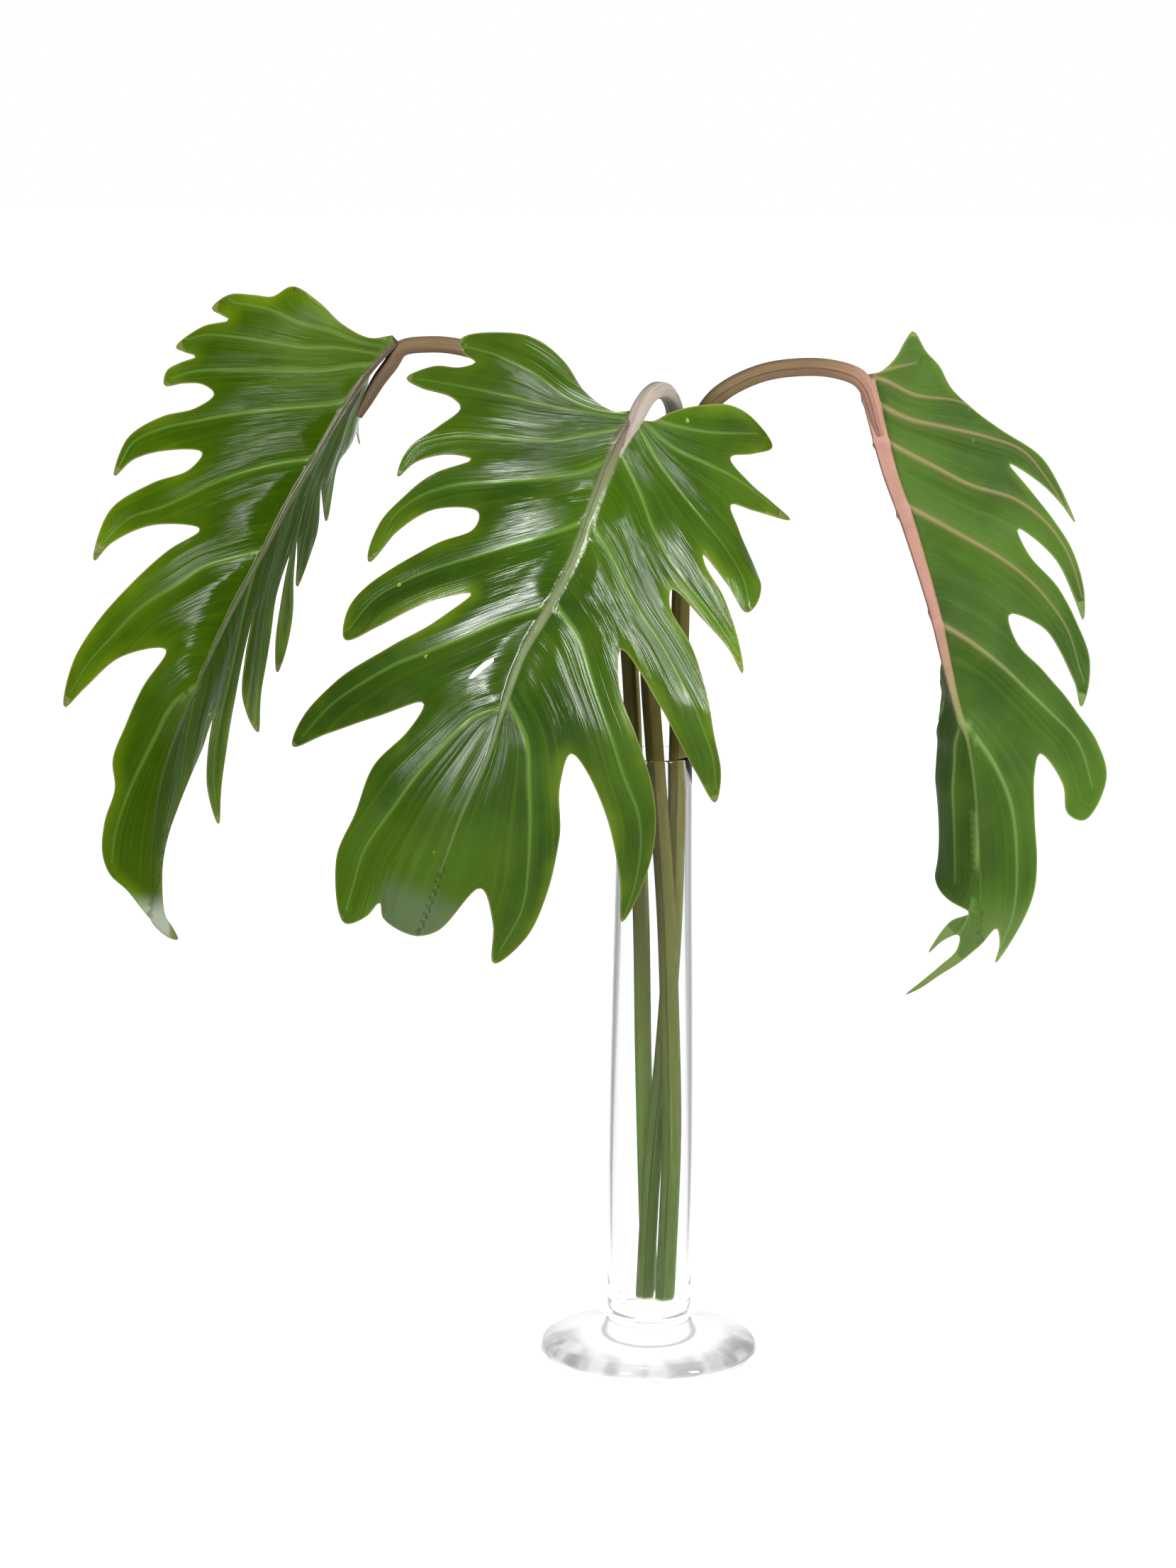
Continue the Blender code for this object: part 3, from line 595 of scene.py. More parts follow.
# Short calls that add the nodes of a material or a world.
# All patterns read a mesh's own attributes, or Object coordinates.
class Shade:
    def __init__(self, owner, shaderName="Principled BSDF"):
        owner.use_nodes = True
        self.owner = owner
        self.tree = owner.node_tree
        self.shader = self.tree.nodes[shaderName]
        self.place = self.tree.nodes.new("ShaderNodeTexCoord").outputs["Object"]

    def node(self, kind, **settings):
        made = self.tree.nodes.new(kind)
        for key, value in settings.items():
            setattr(made, key, value)
        return made

    def feed(self, socket, value):
        if isinstance(value, bpy.types.NodeSocket):
            link(self.tree, value, socket)
        elif socket.type == "RGBA":
            socket.default_value = (*value, 1.0)
        else:
            socket.default_value = value

    def attribute(self, name):
        return self.node("ShaderNodeAttribute", attribute_name=name).outputs["Fac"]

    def sums(self, operation, a, b=0.0, c=0.0):
        made = self.node("ShaderNodeMath", operation=operation)
        for socket, value in zip(made.inputs, (a, b, c)):
            self.feed(socket, value)
        return made.outputs[0]

    def ramp(self, value, low, high, first=0.0, last=1.0):
        made = self.node("ShaderNodeMapRange", interpolation_type="SMOOTHSTEP")
        for socket, number in zip(made.inputs, (value, low, high, first, last)):
            self.feed(socket, number)
        return made.outputs[0]

    def vector(self, x, y=0.0, z=0.0):
        made = self.node("ShaderNodeCombineXYZ")
        for socket, value in zip(made.inputs, (x, y, z)):
            self.feed(socket, value)
        return made.outputs[0]

    def noise(self, where, scale, detail=2.0, rough=0.5):
        made = self.node("ShaderNodeTexNoise")
        self.feed(made.inputs["Vector"], where)
        made.inputs["Scale"].default_value = scale
        made.inputs["Detail"].default_value = detail
        made.inputs["Roughness"].default_value = rough
        return made.outputs["Fac"]

    def mix(self, share, first, last):
        made = self.node("ShaderNodeMix", data_type="RGBA")
        self.feed(made.inputs["Factor"], share)
        self.feed(made.inputs[6], first)
        self.feed(made.inputs[7], last)
        return made.outputs[2]

    def bump(self, height, distance, strength=1.0, after=None):
        made = self.node("ShaderNodeBump")
        made.inputs["Strength"].default_value = strength
        made.inputs["Distance"].default_value = distance
        self.feed(made.inputs["Height"], height)
        if after is not None:
            self.feed(made.inputs["Normal"], after)
        return made.outputs["Normal"]

    def finish(self, colour, roughness, normal=None, **fixed):
        self.feed(self.shader.inputs["Base Color"], colour)
        self.feed(self.shader.inputs["Roughness"], roughness)
        if normal is not None:
            self.feed(self.shader.inputs["Normal"], normal)
        for key, value in fixed.items():
            self.shader.inputs[key.replace("_", " ")].default_value = value
        return self.owner


# Sizes of the leaf patterns: noise scales, or (across the stripes, towards the margin)
leafPattern = {
    "broad": 13.0, "mottle": 55.0, "patches": 24.0, "ribSpots": 90.0, "specks": 75.0, "speckPatches": 30.0,
    "grain": 1400.0, "lines": (17.0, 0.018), "fine": (52.0, 0.03), "folds": (4.5, 0.03),
}


# A leaf's skin: mottled green with fine stripes along the side veins, paler veins, a thin margin, and a tip
# painted with underside colour and sheen
def greenSkin(name, look):
    s = Shade(bpy.data.materials.new(name))
    marks = ("stripe", "edge", "vein", "rib", "share", "away", "turned")
    stripe, edge, vein, rib, share, away, turned = (s.attribute(mark) for mark in marks)
    def stripes(size, detail, rough=0.5):
        where = s.vector(s.sums("MULTIPLY", stripe, size[0]), s.sums("MULTIPLY", edge, size[1]))
        return s.noise(where, 1.0, detail, rough)
    def faded(height):
        return s.sums("MULTIPLY", s.sums("SUBTRACT", height, 0.5), away)
    broad = s.noise(s.place, leafPattern["broad"], 3.0)
    mottle = s.noise(s.place, leafPattern["mottle"], 3.0, 0.6)
    lines = stripes(leafPattern["lines"], 3.0, 0.65)
    fine = stripes(leafPattern["fine"], 2.0, 0.6)
    colour = s.mix(s.ramp(broad, 0.36, 0.66), look["deep"], look["mid"])
    colour = s.mix(s.ramp(mottle, 0.45, 0.75, 0.0, 0.35), colour, look["mid"])
    paler = s.sums("MULTIPLY", s.ramp(lines, 0.45, 0.72, 0.0, look["stripes"]), away)
    colour = s.mix(paler, colour, look["pale"])
    nearEdge = s.ramp(edge, 0.0, look["paleMargin"], 1.0, 0.0)
    patchy = s.ramp(s.noise(s.place, leafPattern["patches"], 2.0), 0.42, 0.66, 0.15, 1.0)
    margin = s.sums("MULTIPLY", s.sums("MULTIPLY", nearEdge, patchy), look["marginShare"])
    colour = s.mix(margin, colour, look["pale"])
    rosy = s.ramp(share, look["rosyEnds"][0], look["rosyEnds"][1], 1.0, 0.0)
    veinColour = s.mix(s.sums("MULTIPLY", rosy, look["veinRosy"]), look["vein"], look["rosyVein"])
    colour = s.mix(s.sums("MULTIPLY", vein, look["veinShare"]), colour, veinColour)
    ribSpots = s.ramp(s.noise(s.place, leafPattern["ribSpots"], 3.0), 0.4, 0.7, 0.0, 0.35)
    ribColour = s.mix(ribSpots, s.mix(rosy, look["rib"], look["rosyRib"]), look["ribDark"])
    colour = s.mix(s.sums("MULTIPLY", rib, look["ribShare"]), colour, ribColour)
    # Painted sheen: the blade's end takes the grey underside colour of a rolled lobe, with the sheen it shows
    colour = s.mix(s.sums("MULTIPLY", turned, look["turnedShare"]), colour, look["turned"])
    colour = s.mix(s.ramp(edge, 0.25, 0.9, 0.5, 0.0), colour, look["rimLine"])
    specks = s.node("ShaderNodeTexVoronoi", feature="F1")
    s.feed(specks.inputs["Vector"], s.place)
    specks.inputs["Scale"].default_value = leafPattern["specks"]
    chosen = s.sums("GREATER_THAN", s.noise(s.place, leafPattern["speckPatches"], 1.0), 0.66)
    dot = s.ramp(specks.outputs["Distance"], 0.05, 0.11, look["specks"], 0.0)
    colour = s.mix(s.sums("MULTIPLY", dot, chosen), colour, look["speck"])
    uneven = s.sums("ADD", s.sums("MULTIPLY", fine, 0.5), s.sums("MULTIPLY", mottle, 0.5))
    rough = s.ramp(uneven, 0.3, 0.7, look["roughness"][0], look["roughness"][1])
    normal = s.bump(faded(stripes(leafPattern["folds"], 1.0)), look["foldBump"] * mm)
    normal = s.bump(faded(lines), look["stripeBump"] * mm, after=normal)
    normal = s.bump(faded(fine), look["fineBump"] * mm, after=normal)
    normal = s.bump(s.noise(s.place, leafPattern["grain"], 2.0), look["grainBump"] * mm, after=normal)
    return s.finish(colour, rough, normal, Specular_IOR_Level=look["shine"])


topLook = {
    "deep": (0.018, 0.050, 0.002), "mid": (0.041, 0.093, 0.003), "pale": (0.13, 0.22, 0.006),
    "stripes": 0.16, "paleMargin": 9.0, "marginShare": 0.55,
    "vein": (0.13, 0.25, 0.035), "rosyVein": (0.16, 0.24, 0.06), "veinShare": 0.75, "veinRosy": 0.3,
    "rib": (0.18, 0.22, 0.10), "rosyRib": (0.16, 0.115, 0.085), "ribDark": (0.12, 0.15, 0.07), "ribShare": 0.9,
    # The tip colour is a rolled lobe's underside grey with a painted sheen
    "rosyEnds": (0.03, 0.26), "rimLine": (0.26, 0.24, 0.08), "turned": (0.085, 0.125, 0.06),
    "turnedShare": 0.75, "specks": 0.7, "speck": (0.35, 0.38, 0.06), "shine": 0.45,
    "roughness": (0.13, 0.22), "foldBump": 1.6, "stripeBump": 0.38, "fineBump": 0.16, "grainBump": 0.012,
}
leftTopLook = {
    **topLook,
    "deep": (0.026, 0.064, 0.001), "mid": (0.046, 0.100, 0.002), "pale": (0.14, 0.23, 0.005),
    # The tip colour here is nearly white: a painted highlight on the left leaf's tip
    "rib": (0.12, 0.12, 0.05), "rosyRib": (0.13, 0.085, 0.065), "turned": (0.50, 0.54, 0.44),
    "roughness": (0.09, 0.16), "shine": 0.10,
}
underLook = {
    "deep": (0.024, 0.062, 0.003), "mid": (0.052, 0.115, 0.006), "pale": (0.10, 0.195, 0.012),
    "stripes": 0.2, "paleMargin": 5.0, "marginShare": 0.45,
    "vein": (0.17, 0.28, 0.07), "rosyVein": (0.30, 0.21, 0.11), "veinShare": 0.85, "veinRosy": 0.9,
    "rib": (0.17, 0.22, 0.06), "rosyRib": (0.42, 0.22, 0.17), "ribDark": (0.26, 0.14, 0.09), "ribShare": 1.0,
    "rosyEnds": (0.42, 0.70), "rimLine": (0.22, 0.30, 0.08), "turned": (0.26, 0.32, 0.17),
    "turnedShare": 0.15, "specks": 0.25, "speck": (0.30, 0.34, 0.12), "shine": 0.22,
    "roughness": (0.5, 0.65), "foldBump": 0.8, "stripeBump": 0.16, "fineBump": 0.06, "grainBump": 0.03,
}

leafTop = greenSkin("leafTop", topLook)
leftTop = greenSkin("leftLeafTop", leftTopLook)
leafUnder = greenSkin("leafUnderside", underLook)
for name, leaf, cadNode, skins, slotName in (
        ("centreBlade", centreLeaf, "centre_leaf", (leafTop, leafUnder), "glossy_leaf"),
        ("leftBlade", leftLeaf, "left_leaf", (leftTop, leafUnder), "glossy_leaf"),
        ("rightBlade", rightLeaf, "right_leaf", (leafTop, leafUnder), "leaf_underside")):
    blade = makeLeaf(name, leaf, skins)
    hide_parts(cadNode)
    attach(blade, "root")
print("leaves made")


# Stalks: a tapering tube along each route, made by Geometry Nodes. An onward row is a point and a radius.
# A head is (start, end, colour, share), and start, end and green are shares of the length.
stalks = {
    "leftStalk": {
        "route": [(0.4, 10.3, 27.3), (-1.8, 9.9, 80), (-4.2, 9.4, 149), (-6.0, 8.0, 218), (-10.2, 4.4, 303),
                  (-12.9, 4, 349), (-16.7, 5, 385), (-24.5, 7, 419), (-37, 9, 450), (-56, 10, 479),
                  (-77, 11, 495), (-96, 11.5, 501.2), (-110, 12.2, 502.3), (-124.3, 13.2, 499.9)],
        "radii": (4.2, 3.9), "node": "left_stalk", "green": 0.42,
        "onward": [(-129, 14.2, 492.5, 3.7), (-135.2, 14.0, 484, 3.4), (-140.2, 12.8, 475, 2.7),
                   (-144.6, 11, 467, 1.6)],
        "head": (0.90, 1.0, (0.17, 0.10, 0.085), 0.6),
        "lowGreen": (0.060, 0.110, 0.016), "lowBrown": (0.17, 0.145, 0.035),
    },
    "centreStalk": {
        "route": [(7.5, -8.2, 28.4), (9.8, -8.6, 114), (8.3, -8.8, 172), (5.7, -9.1, 230), (-0.3, -9.5, 306),
                  (-3.7, -10, 352), (-3.8, -11, 388), (-0.8, -13, 423), (4.3, -17, 452), (7.3, -24, 473),
                  (4.6, -38, 486), (-1.2, -54, 491.5), (-6.6, -66.5, 489.8), (-10.2, -73.6, 484.8)],
        "radii": (4.6, 4.0), "node": "centre_stalk", "green": 0.36,
        "head": (0.78, 0.85, (0.42, 0.37, 0.32), 0.85),
        "lowGreen": (0.032, 0.064, 0.007), "lowBrown": (0.086, 0.076, 0.011),
        "onward": [(-13, -79, 479.5, 3.6), (-17, -86, 472.5, 2.9), (-21.5, -94, 464.5, 2.0),
                   (-26, -102.5, 455.5, 1.1)],
    },
    "rightStalk": {
        "route": [(-2.2, 1.0, 25.8), (1.0, 1.0, 97), (5.7, 1.2, 148), (10.2, 1.4, 227), (11.2, 2.0, 304),
                  (11.6, 1.0, 379), (12.5, 0, 411), (13.5, -1, 438), (17.3, -2, 461), (24, -3, 476),
                  (32, -4, 484), (49, -5, 492.4), (67, -6, 495.5), (82, -7.4, 495.2), (94.6, -9.8, 491.6)],
        "radii": (4.5, 4.3), "node": "right_stalk", "green": 0.40,
        "head": (0.90, 0.985, (0.42, 0.22, 0.17), 1.0),
        "lowGreen": (0.036, 0.072, 0.008), "lowBrown": (0.120, 0.103, 0.018),
        "onward": [(99.2, -11.3, 486.5, 4.0), (101.8, -12.2, 479.5, 3.7), (103.8, -12.4, 472, 3.2),
                   (106, -12.4, 464, 2.4)],
    },
}
stalkMake = {"sides": 28, "ringStep": 2.5, "ribs": 7, "ribDepth": 0.035}


# Curve to tube, with named inputs, keeping how far along and around each point is
def stalkTree():
    tree = bpy.data.node_groups.new("stalkTube", "GeometryNodeTree")
    names = {}
    for label, kind in (("Geometry", "Geometry"), ("Sides", "Int"), ("Rib Count", "Int"),
                        ("Rib Depth", "Float"), ("Skin", "Material")):
        made = tree.interface.new_socket(label, in_out="INPUT", socket_type="NodeSocket" + kind)
        names[label] = made.identifier
    tree.interface.new_socket("Geometry", in_out="OUTPUT", socket_type="NodeSocketGeometry")
    def add(kind, feeds=None, **settings):
        made = tree.nodes.new(kind)
        for key, value in settings.items():
            setattr(made, key, value)
        for key, value in (feeds or {}).items():
            if isinstance(value, bpy.types.NodeSocket):
                link(tree, value, made.inputs[key])
            else:
                made.inputs[key].default_value = value
        return made.outputs
    def maths(operation, *values):
        return add("ShaderNodeMath", dict(enumerate(values)), operation=operation)[0]
    def keep(label, geometry, value):
        return add("GeometryNodeStoreNamedAttribute", {"Geometry": geometry, "Name": label, "Value": value},
                   data_type="FLOAT", domain="POINT")[0]
    ins = add("NodeGroupInput")
    way = add("GeometryNodeSplineParameter")["Factor"]
    circle = add("GeometryNodeCurvePrimitiveCircle", {"Resolution": ins["Sides"], "Radius": mm})["Curve"]
    swell = maths("COSINE", maths("MULTIPLY", maths("MULTIPLY", way, 2 * math.pi), ins["Rib Count"]))
    size = maths("MULTIPLY_ADD", swell, ins["Rib Depth"], 1.0)
    spot = add("GeometryNodeInputPosition")[0]
    grown = add("ShaderNodeVectorMath", {0: spot, "Scale": size}, operation="SCALE")[0]
    ribbed = add("GeometryNodeSetPosition", {"Geometry": circle, "Position": grown})[0]
    radius = add("GeometryNodeInputRadius")[0]
    tube = add("GeometryNodeCurveToMesh", {
        "Curve": keep("along", ins["Geometry"], way), "Profile Curve": keep("around", ribbed, way),
        "Scale": radius, "Fill Caps": True,
    })[0]
    smooth = add("GeometryNodeSetShadeSmooth", {"Geometry": tube})[0]
    real = add("GeometryNodeRealizeInstances", {0: smooth})[0]
    painted = add("GeometryNodeSetMaterial", {"Geometry": real, "Material": ins["Skin"]})[0]
    add("NodeGroupOutput", {0: painted})
    return tree, names


# The route with its radii, and on from its end into the start of the blade's rib
def stalkRoute(stalk):
    foot, head = stalk["radii"]
    route = np.array(stalk["route"], float)
    radii = np.linspace(foot, head, len(route))[:, None]
    rows = np.vstack([np.hstack([route, radii]), stalk["onward"]])
    return evenly(smoothPath(rows, 10), stalkMake["ringStep"])


stalkLook = {
    "upper": (0.21, 0.135, 0.075), "thin": (0.10, 0.08, 0.03), "streak": (0.15, 0.14, 0.05),
    "blotch": (0.09, 0.105, 0.03), "cutEnd": (0.42, 0.45, 0.22), "fleck": (0.62, 0.66, 0.55),
    "blotchScale": 60.0, "fleckScale": 110.0, "fleckPatches": 45.0,
    "roughness": (0.38, 0.55), "thinBump": 0.25, "streakBump": 0.3, "shine": 0.15,
}


# Mauve-brown above, green in the vase, with fine lengthwise streaks
def stalkSkin(name, stalk, look):
    s = Shade(bpy.data.materials.new(name))
    along, around = s.attribute("along"), s.attribute("around")
    turn = s.sums("MULTIPLY", around, 2 * math.pi)
    ring = s.sums("COSINE", turn), s.sums("SINE", turn)
    def streaks(across, lengthwise, detail, rough):
        where = s.vector(s.sums("MULTIPLY", ring[0], across), s.sums("MULTIPLY", ring[1], across),
                         s.sums("MULTIPLY", along, lengthwise))
        return s.noise(where, 1.0, detail, rough)
    streak = streaks(5.0, 9.0, 4.0, 0.65)
    thin = streaks(14.0, 22.0, 3.0, 0.6)
    blotch = s.noise(s.place, look["blotchScale"], 3.0, 0.6)
    height = s.sums("ADD", along, s.sums("MULTIPLY", s.sums("SUBTRACT", streak, 0.5), 0.12))
    green = stalk["green"]
    start, end, headColour, headShare = stalk["head"]
    colour = s.mix(s.ramp(height, green - 0.30, green + 0.16), stalk["lowGreen"], stalk["lowBrown"])
    colour = s.mix(s.ramp(height, green + 0.16, green + 0.5), colour, look["upper"])
    colour = s.mix(s.ramp(height, start, end, 0.0, headShare), colour, headColour)
    colour = s.mix(s.ramp(thin, 0.40, 0.70, 0.0, 0.45), colour, look["thin"])
    colour = s.mix(s.ramp(streak, 0.52, 0.74, 0.0, 0.35), colour, look["streak"])
    colour = s.mix(s.ramp(blotch, 0.55, 0.8, 0.0, 0.3), colour, look["blotch"])
    colour = s.mix(s.ramp(along, 0.0, 0.004, 0.75, 0.0), colour, look["cutEnd"])
    flecks = s.node("ShaderNodeTexVoronoi", feature="F1")
    s.feed(flecks.inputs["Vector"], s.place)
    flecks.inputs["Scale"].default_value = look["fleckScale"]
    low = s.ramp(along, green - 0.12, green + 0.12, 0.75, 0.0)
    chosen = s.sums("GREATER_THAN", s.noise(s.place, look["fleckPatches"], 1.0), 0.58)
    fleck = s.ramp(flecks.outputs["Distance"], 0.04, 0.09, 1.0, 0.0)
    colour = s.mix(s.sums("MULTIPLY", s.sums("MULTIPLY", fleck, chosen), low), colour, look["fleck"])
    rough = s.ramp(blotch, 0.3, 0.7, look["roughness"][0], look["roughness"][1])
    normal = s.bump(thin, look["thinBump"] * mm)
    normal = s.bump(streak, look["streakBump"] * mm, after=normal)
    return s.finish(colour, rough, normal, Specular_IOR_Level=look["shine"])


tubeTree, tubeInputs = stalkTree()
for name, stalk in stalks.items():
    route = stalkRoute(stalk)
    data = bpy.data.curves.new(name + "Path", "CURVE")
    data.dimensions = "3D"
    spline = data.splines.new("POLY")
    spline.points.add(len(route) - 1)
    for point, row in zip(spline.points, route):
        point.co = (*(row[:3] * mm), 1.0)
        point.radius = row[3]
    holder = bpy.data.objects.new(name + "Path", data)
    scene.collection.objects.link(holder)
    maker = holder.modifiers.new("tube", "NODES")
    maker.node_group = tubeTree
    maker[tubeInputs["Sides"]] = stalkMake["sides"]
    maker[tubeInputs["Rib Count"]] = stalkMake["ribs"]
    maker[tubeInputs["Rib Depth"]] = stalkMake["ribDepth"]
    maker[tubeInputs["Skin"]] = stalkSkin(name + "Skin", stalk, stalkLook)
    bpy.context.view_layer.update()
    mesh = bpy.data.meshes.new_from_object(holder.evaluated_get(bpy.context.evaluated_depsgraph_get()))
    holder.modifiers.remove(maker)
    bpy.data.objects.remove(holder, do_unlink=True)
    mesh.name = name
    mesh.set_sharp_from_angle(angle=math.radians(50))
    tube = bpy.data.objects.new(name, mesh)
    scene.collection.objects.link(tube)
    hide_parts(stalk["node"])
    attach(tube, "root")
    print(name, "faces", len(mesh.polygons), [a.name for a in mesh.attributes][:8])
print("stalks made")


# Vase: the same turned form as the solid, with many more sides and softer curves
vaseLook = {
    "height": 304.5, "footRadius": 54.0, "footFlat": 50.5, "footEdge": 3.6, "wall": 2.0, "rimRadius": 18.1,
    "cavityFloor": 25.0, "cornerTop": 35.0, "sides": 144,
    "cornerShares": (0.0, 0.2, 0.35, 0.5, 0.62, 0.72, 0.8, 0.86, 0.91, 0.95, 0.98),
    "tube": [(20.6, 35.0), (20.9, 60.0), (21.0, 98.0), (20.4, 150.0), (19.7, 192.0), (18.8, 243.0)],
    "base": [(20.6, 35.0), (20.5, 24.0), (19.6, 21.4), (19.3, 19.0), (20.6, 16.9),
             (25.0, 15.3), (32.0, 13.4), (40.0, 11.6), (47.0, 9.7), (51.4, 7.7)],
    "undersideRings": (50.5, 46.0, 30.0, 12.0, 0.0),
    "glass": (0.965, 0.98, 0.975), "ior": 1.46, "shadow": (0.975, 0.98, 0.98), "hazeScale": 35.0, "haze": 0.25,
}


def arc(x, z, wide, tall, degrees):
    turns = [math.radians(angle) for angle in degrees]
    return [(x + wide * math.cos(turn), z + tall * math.sin(turn)) for turn in turns]


# Radius and height: cavity floor, inner wall, rim, outside, short solid base, domed foot, underside
def vaseProfile(look):
    tube, wall, top = look["tube"], look["wall"], look["cornerTop"]
    cornerRadius = tube[0][0] - wall
    drop = top - look["cavityFloor"]
    shares = look["cornerShares"]
    corner = [(cornerRadius * share, top - drop * (1 - share ** 3) ** (1 / 3)) for share in shares]
    rimMiddle = look["rimRadius"] - wall / 2
    rimTop = look["height"] - wall / 2
    inner = smoothPath([*((r - wall, z) for r, z in tube), (rimMiddle - wall / 2, rimTop)], 4)[:-1]
    outer = smoothPath([(rimMiddle + wall / 2, rimTop), *tube[::-1]], 4)[1:]
    rim = arc(rimMiddle, rimTop, wall / 2, wall / 2, range(180, -1, -30))
    lower = smoothPath(look["base"], 5)[1:]
    edge = arc(look["footFlat"], look["footEdge"], look["footRadius"] - look["footFlat"], look["footEdge"],
               range(50, -76, -25))
    under = [(r, 0.0) for r in look["undersideRings"]]
    return [*corner, *inner, *rim, *outer, *lower, *edge, *under]


# Clear glass that lets lamp light through to the stalks inside
def clearGlass(look):
    s = Shade(bpy.data.materials.new("clearGlass"))
    normal = s.bump(s.noise(s.place, look["hazeScale"], 2.0), look["haze"] * mm, 0.25)
    s.finish(look["glass"], 0.0, normal, Transmission_Weight=1.0, IOR=look["ior"], Specular_IOR_Level=0.5)
    passing = s.node("ShaderNodeBsdfTransparent")
    s.feed(passing.inputs["Color"], look["shadow"])
    rays = s.node("ShaderNodeLightPath")
    either = s.node("ShaderNodeMixShader")
    link(s.tree, rays.outputs["Is Shadow Ray"], either.inputs["Fac"])
    link(s.tree, s.shader.outputs[0], either.inputs[1])
    link(s.tree, passing.outputs[0], either.inputs[2])
    link(s.tree, either.outputs[0], s.tree.nodes["Material Output"].inputs["Surface"])
    return s.owner


def makeVase(look):
    profile = vaseProfile(look)
    mesh = bpy.data.meshes.new("glassVase")
    points = [(r * mm, 0.0, z * mm) for r, z in profile]
    mesh.from_pydata(points, [(i, i + 1) for i in range(len(points) - 1)], [])
    mesh.materials.append(clearGlass(look))
    vase = bpy.data.objects.new("glassVase", mesh)
    scene.collection.objects.link(vase)
    turning = vase.modifiers.new("turning", "SCREW")
    turning.steps = turning.render_steps = look["sides"]
    turning.use_merge_vertices = True
    turning.merge_threshold = 0.00005
    turning.use_smooth_shade = True
    bpy.context.view_layer.update()
    made = bpy.data.meshes.new_from_object(vase.evaluated_get(bpy.context.evaluated_depsgraph_get()))
    vase.modifiers.remove(turning)
    vase.data = made
    made.set_sharp_from_angle(angle=math.radians(65))
    return vase


vase = makeVase(vaseLook)
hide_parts("vase")
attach(vase, "root")
print("vase made")


# Floor, soft light, and a surround that is white behind the object and dark around it, for grey glass edges.
# A lamp is (place, what it points at, width and height, watts). A fill lamp leaves no highlights.
stageLook = {
    "floorSize": 9.0, "floorColour": (0.12, 0.12, 0.12), "floorWhite": 1.0, "floorRise": 0.0002,
    "stripHalfWidth": 0.06, "stripSpread": 0.14, "stripFront": 0.7, "stripSoft": 0.10,
    "stripGlow": 1.10, "sideGlow": 0.30,
    "footShade": (0.024, 0.046, 0.85), "footShadeFront": (-0.01, 0.03), "footShadePatches": 70.0,
    "neckShade": (0.016, 0.020, 0.023, 0.6),
    "front": 0.08, "behind": 0.22, "behindFrom": (0.90, 0.985), "throughGlass": 0.40,
    "lamps": {
        "keySoftbox": ((-1.0, -2.1, 1.2), (-0.06, -0.1, 0.38), (0.45, 1.3), 55.0),
        "rightSoftbox": ((1.8, -1.5, 1.0), (0.0, 0.0, 0.36), (0.38, 1.3), 40.0),
        "sideFill": ((1.5, 0.5, 0.9), (-0.15, 0.0, 0.38), (0.8, 1.0), 32.0),
        "lowFill": ((0.7, -2.0, 0.10), (0.0, 0.0, 0.33), (0.5, 0.5), 15.0),
        "topSoftbox": ((-0.1, 0.0, 1.9), (0.0, 0.0, 0.4), (0.5, 0.22), 6.0),
    },
}


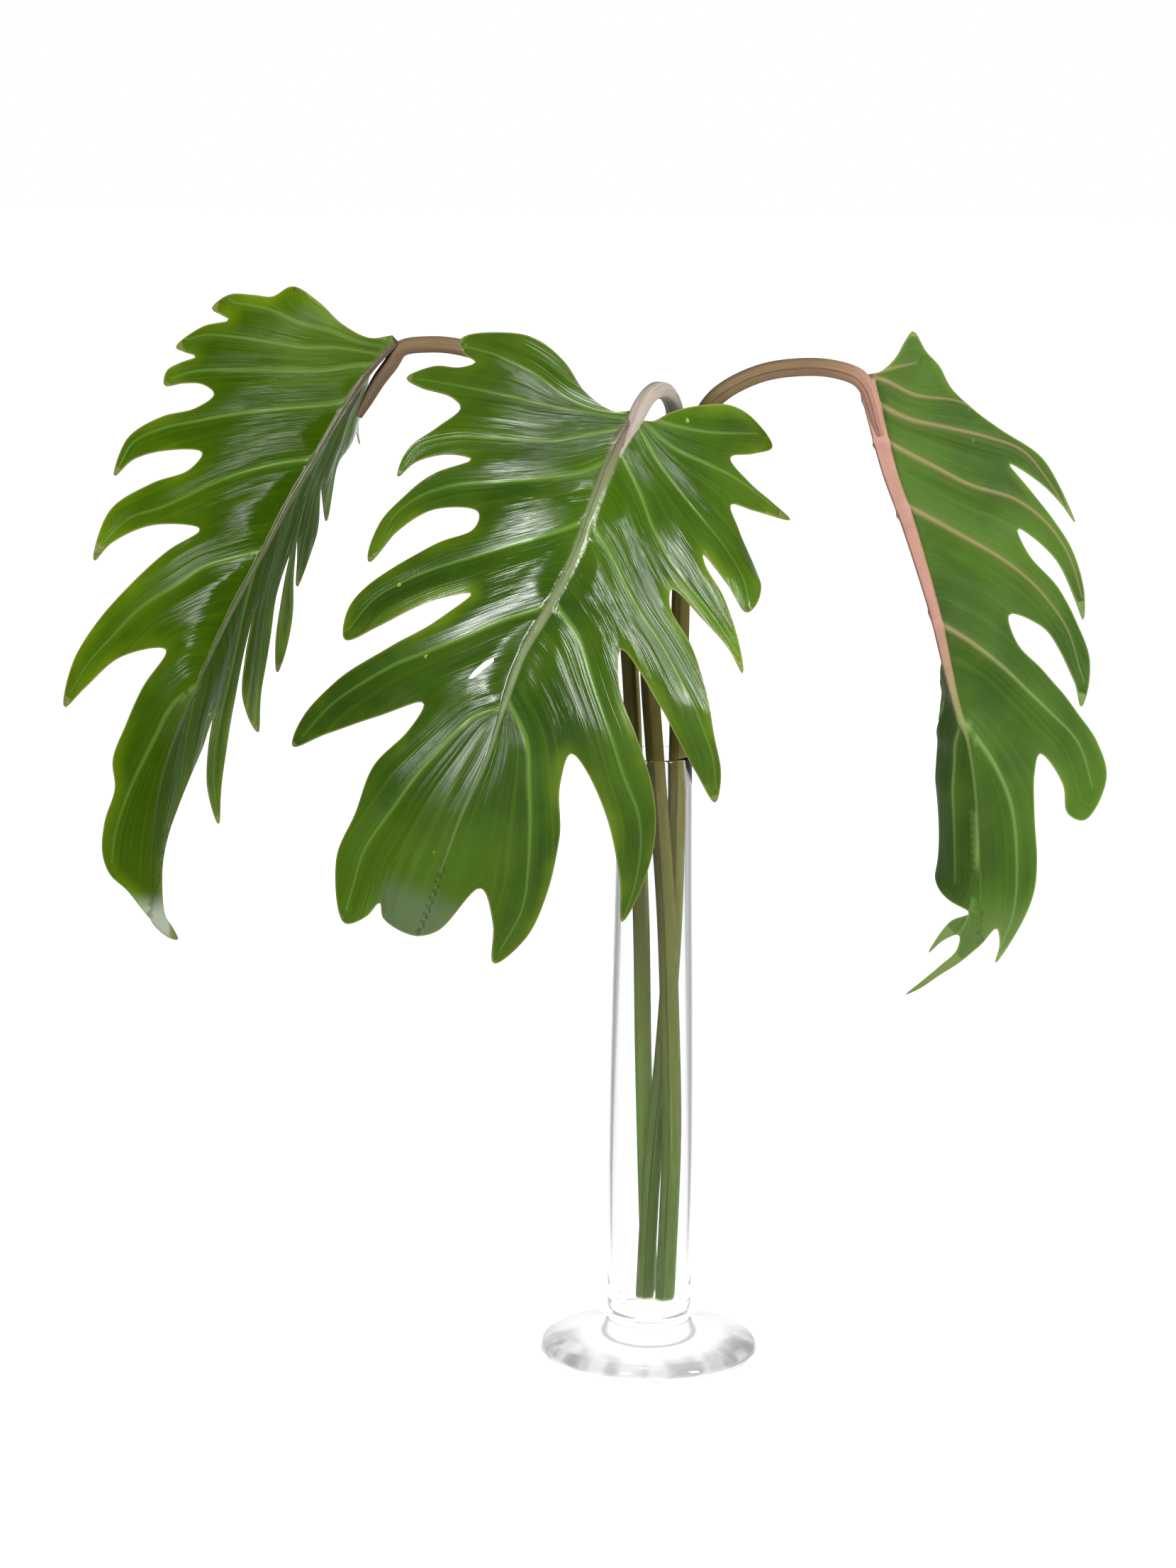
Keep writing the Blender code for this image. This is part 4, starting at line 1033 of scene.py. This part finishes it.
# White where the camera looks straight at it; what glass and leaves see is a lit strip behind the object,
# with a dark ring under the front of the foot and a thin one under its neck
def floorLight(s, look):
    spot = s.node("ShaderNodeSeparateXYZ")
    s.feed(spot.inputs[0], s.place)
    across, back = s.sums("ABSOLUTE", spot.outputs[0]), spot.outputs[1]
    beside = s.sums("SUBTRACT", across, s.sums("MULTIPLY", s.sums("MAXIMUM", back, 0.0), look["stripSpread"]))
    outside = s.sums("MAXIMUM", beside, s.sums("MULTIPLY", back, -look["stripFront"]))
    half = look["stripHalfWidth"]
    strip = s.ramp(outside, half, half + look["stripSoft"], look["stripGlow"], look["sideGlow"])
    fromMiddle = s.node("ShaderNodeVectorMath", operation="LENGTH")
    s.feed(fromMiddle.inputs[0], s.place)
    way = fromMiddle.outputs["Value"]
    inner, outer, depth = look["footShade"]
    inFront = s.ramp(back, look["footShadeFront"][0], look["footShadeFront"][1], 1.0, 0.0)
    patches = s.ramp(s.noise(s.place, look["footShadePatches"], 2.0), 0.36, 0.62, 0.55, 1.0)
    ring = s.sums("MULTIPLY", s.sums("MULTIPLY", s.ramp(way, inner, outer, 0.0, depth), inFront), patches)
    start, middle, end, depth = look["neckShade"]
    neck = s.sums("MULTIPLY", s.ramp(way, start, middle, 0.0, depth), s.ramp(way, middle, end, 1.0, 0.0))
    strip = s.sums("MULTIPLY", strip, s.sums("SUBTRACT", 1.0, s.sums("MAXIMUM", ring, neck)))
    rays = s.node("ShaderNodeLightPath")
    seen = s.sums("MULTIPLY", rays.outputs["Is Camera Ray"], look["floorWhite"])
    s.feed(s.shader.inputs["Emission Strength"], s.sums("MAXIMUM", strip, seen))
    s.shader.inputs["Emission Color"].default_value = (1, 1, 1, 1)


def makeFloor(look):
    half = look["floorSize"] / 2
    mesh = bpy.data.meshes.new("paleFloor")
    corners = ((-half, -half), (half, -half), (half, half), (-half, half))
    mesh.from_pydata([(x, y, look["floorRise"]) for x, y in corners], [], [(0, 1, 2, 3)])
    s = Shade(bpy.data.materials.new("paleFloor"))
    mesh.materials.append(s.finish(look["floorColour"], 0.9, Specular_IOR_Level=0.1))
    floorLight(s, look)
    floor = bpy.data.objects.new("paleFloor", mesh)
    scene.collection.objects.link(floor)


def makeLamps(look):
    for name, (spot, target, size, power) in look["lamps"].items():
        lamp = bpy.data.lights.new(name, "AREA")
        lamp.shape = "RECTANGLE"
        lamp.size, lamp.size_y = size
        lamp.energy = power
        holder = bpy.data.objects.new(name, lamp)
        holder.location = spot
        holder.visible_glossy = not name.endswith("Fill")
        holder.rotation_euler = (Vector(target) - Vector(spot)).to_track_quat("-Z", "Y").to_euler()
        scene.collection.objects.link(holder)


def makeSurround(look):
    world = bpy.data.worlds.new("whiteSurround")
    s = Shade(world, "Background")
    way = s.node("ShaderNodeSeparateXYZ")
    s.feed(way.inputs[0], s.node("ShaderNodeTexCoord").outputs["Generated"])
    start, end = look["behindFrom"]
    level = s.ramp(way.outputs["Y"], start, end, look["front"], look["behind"])
    rays = s.node("ShaderNodeLightPath")
    seen = s.sums("MAXIMUM", level, rays.outputs["Is Camera Ray"])
    glassed = s.sums("MULTIPLY", rays.outputs["Is Transmission Ray"], look["throughGlass"])
    s.feed(s.shader.inputs["Strength"], s.sums("MAXIMUM", seen, glassed))
    s.shader.inputs["Color"].default_value = (1, 1, 1, 1)
    scene.world = world
    scene.view_settings.view_transform = "Standard"


makeFloor(stageLook)
makeLamps(stageLook)
makeSurround(stageLook)
print("stage made")
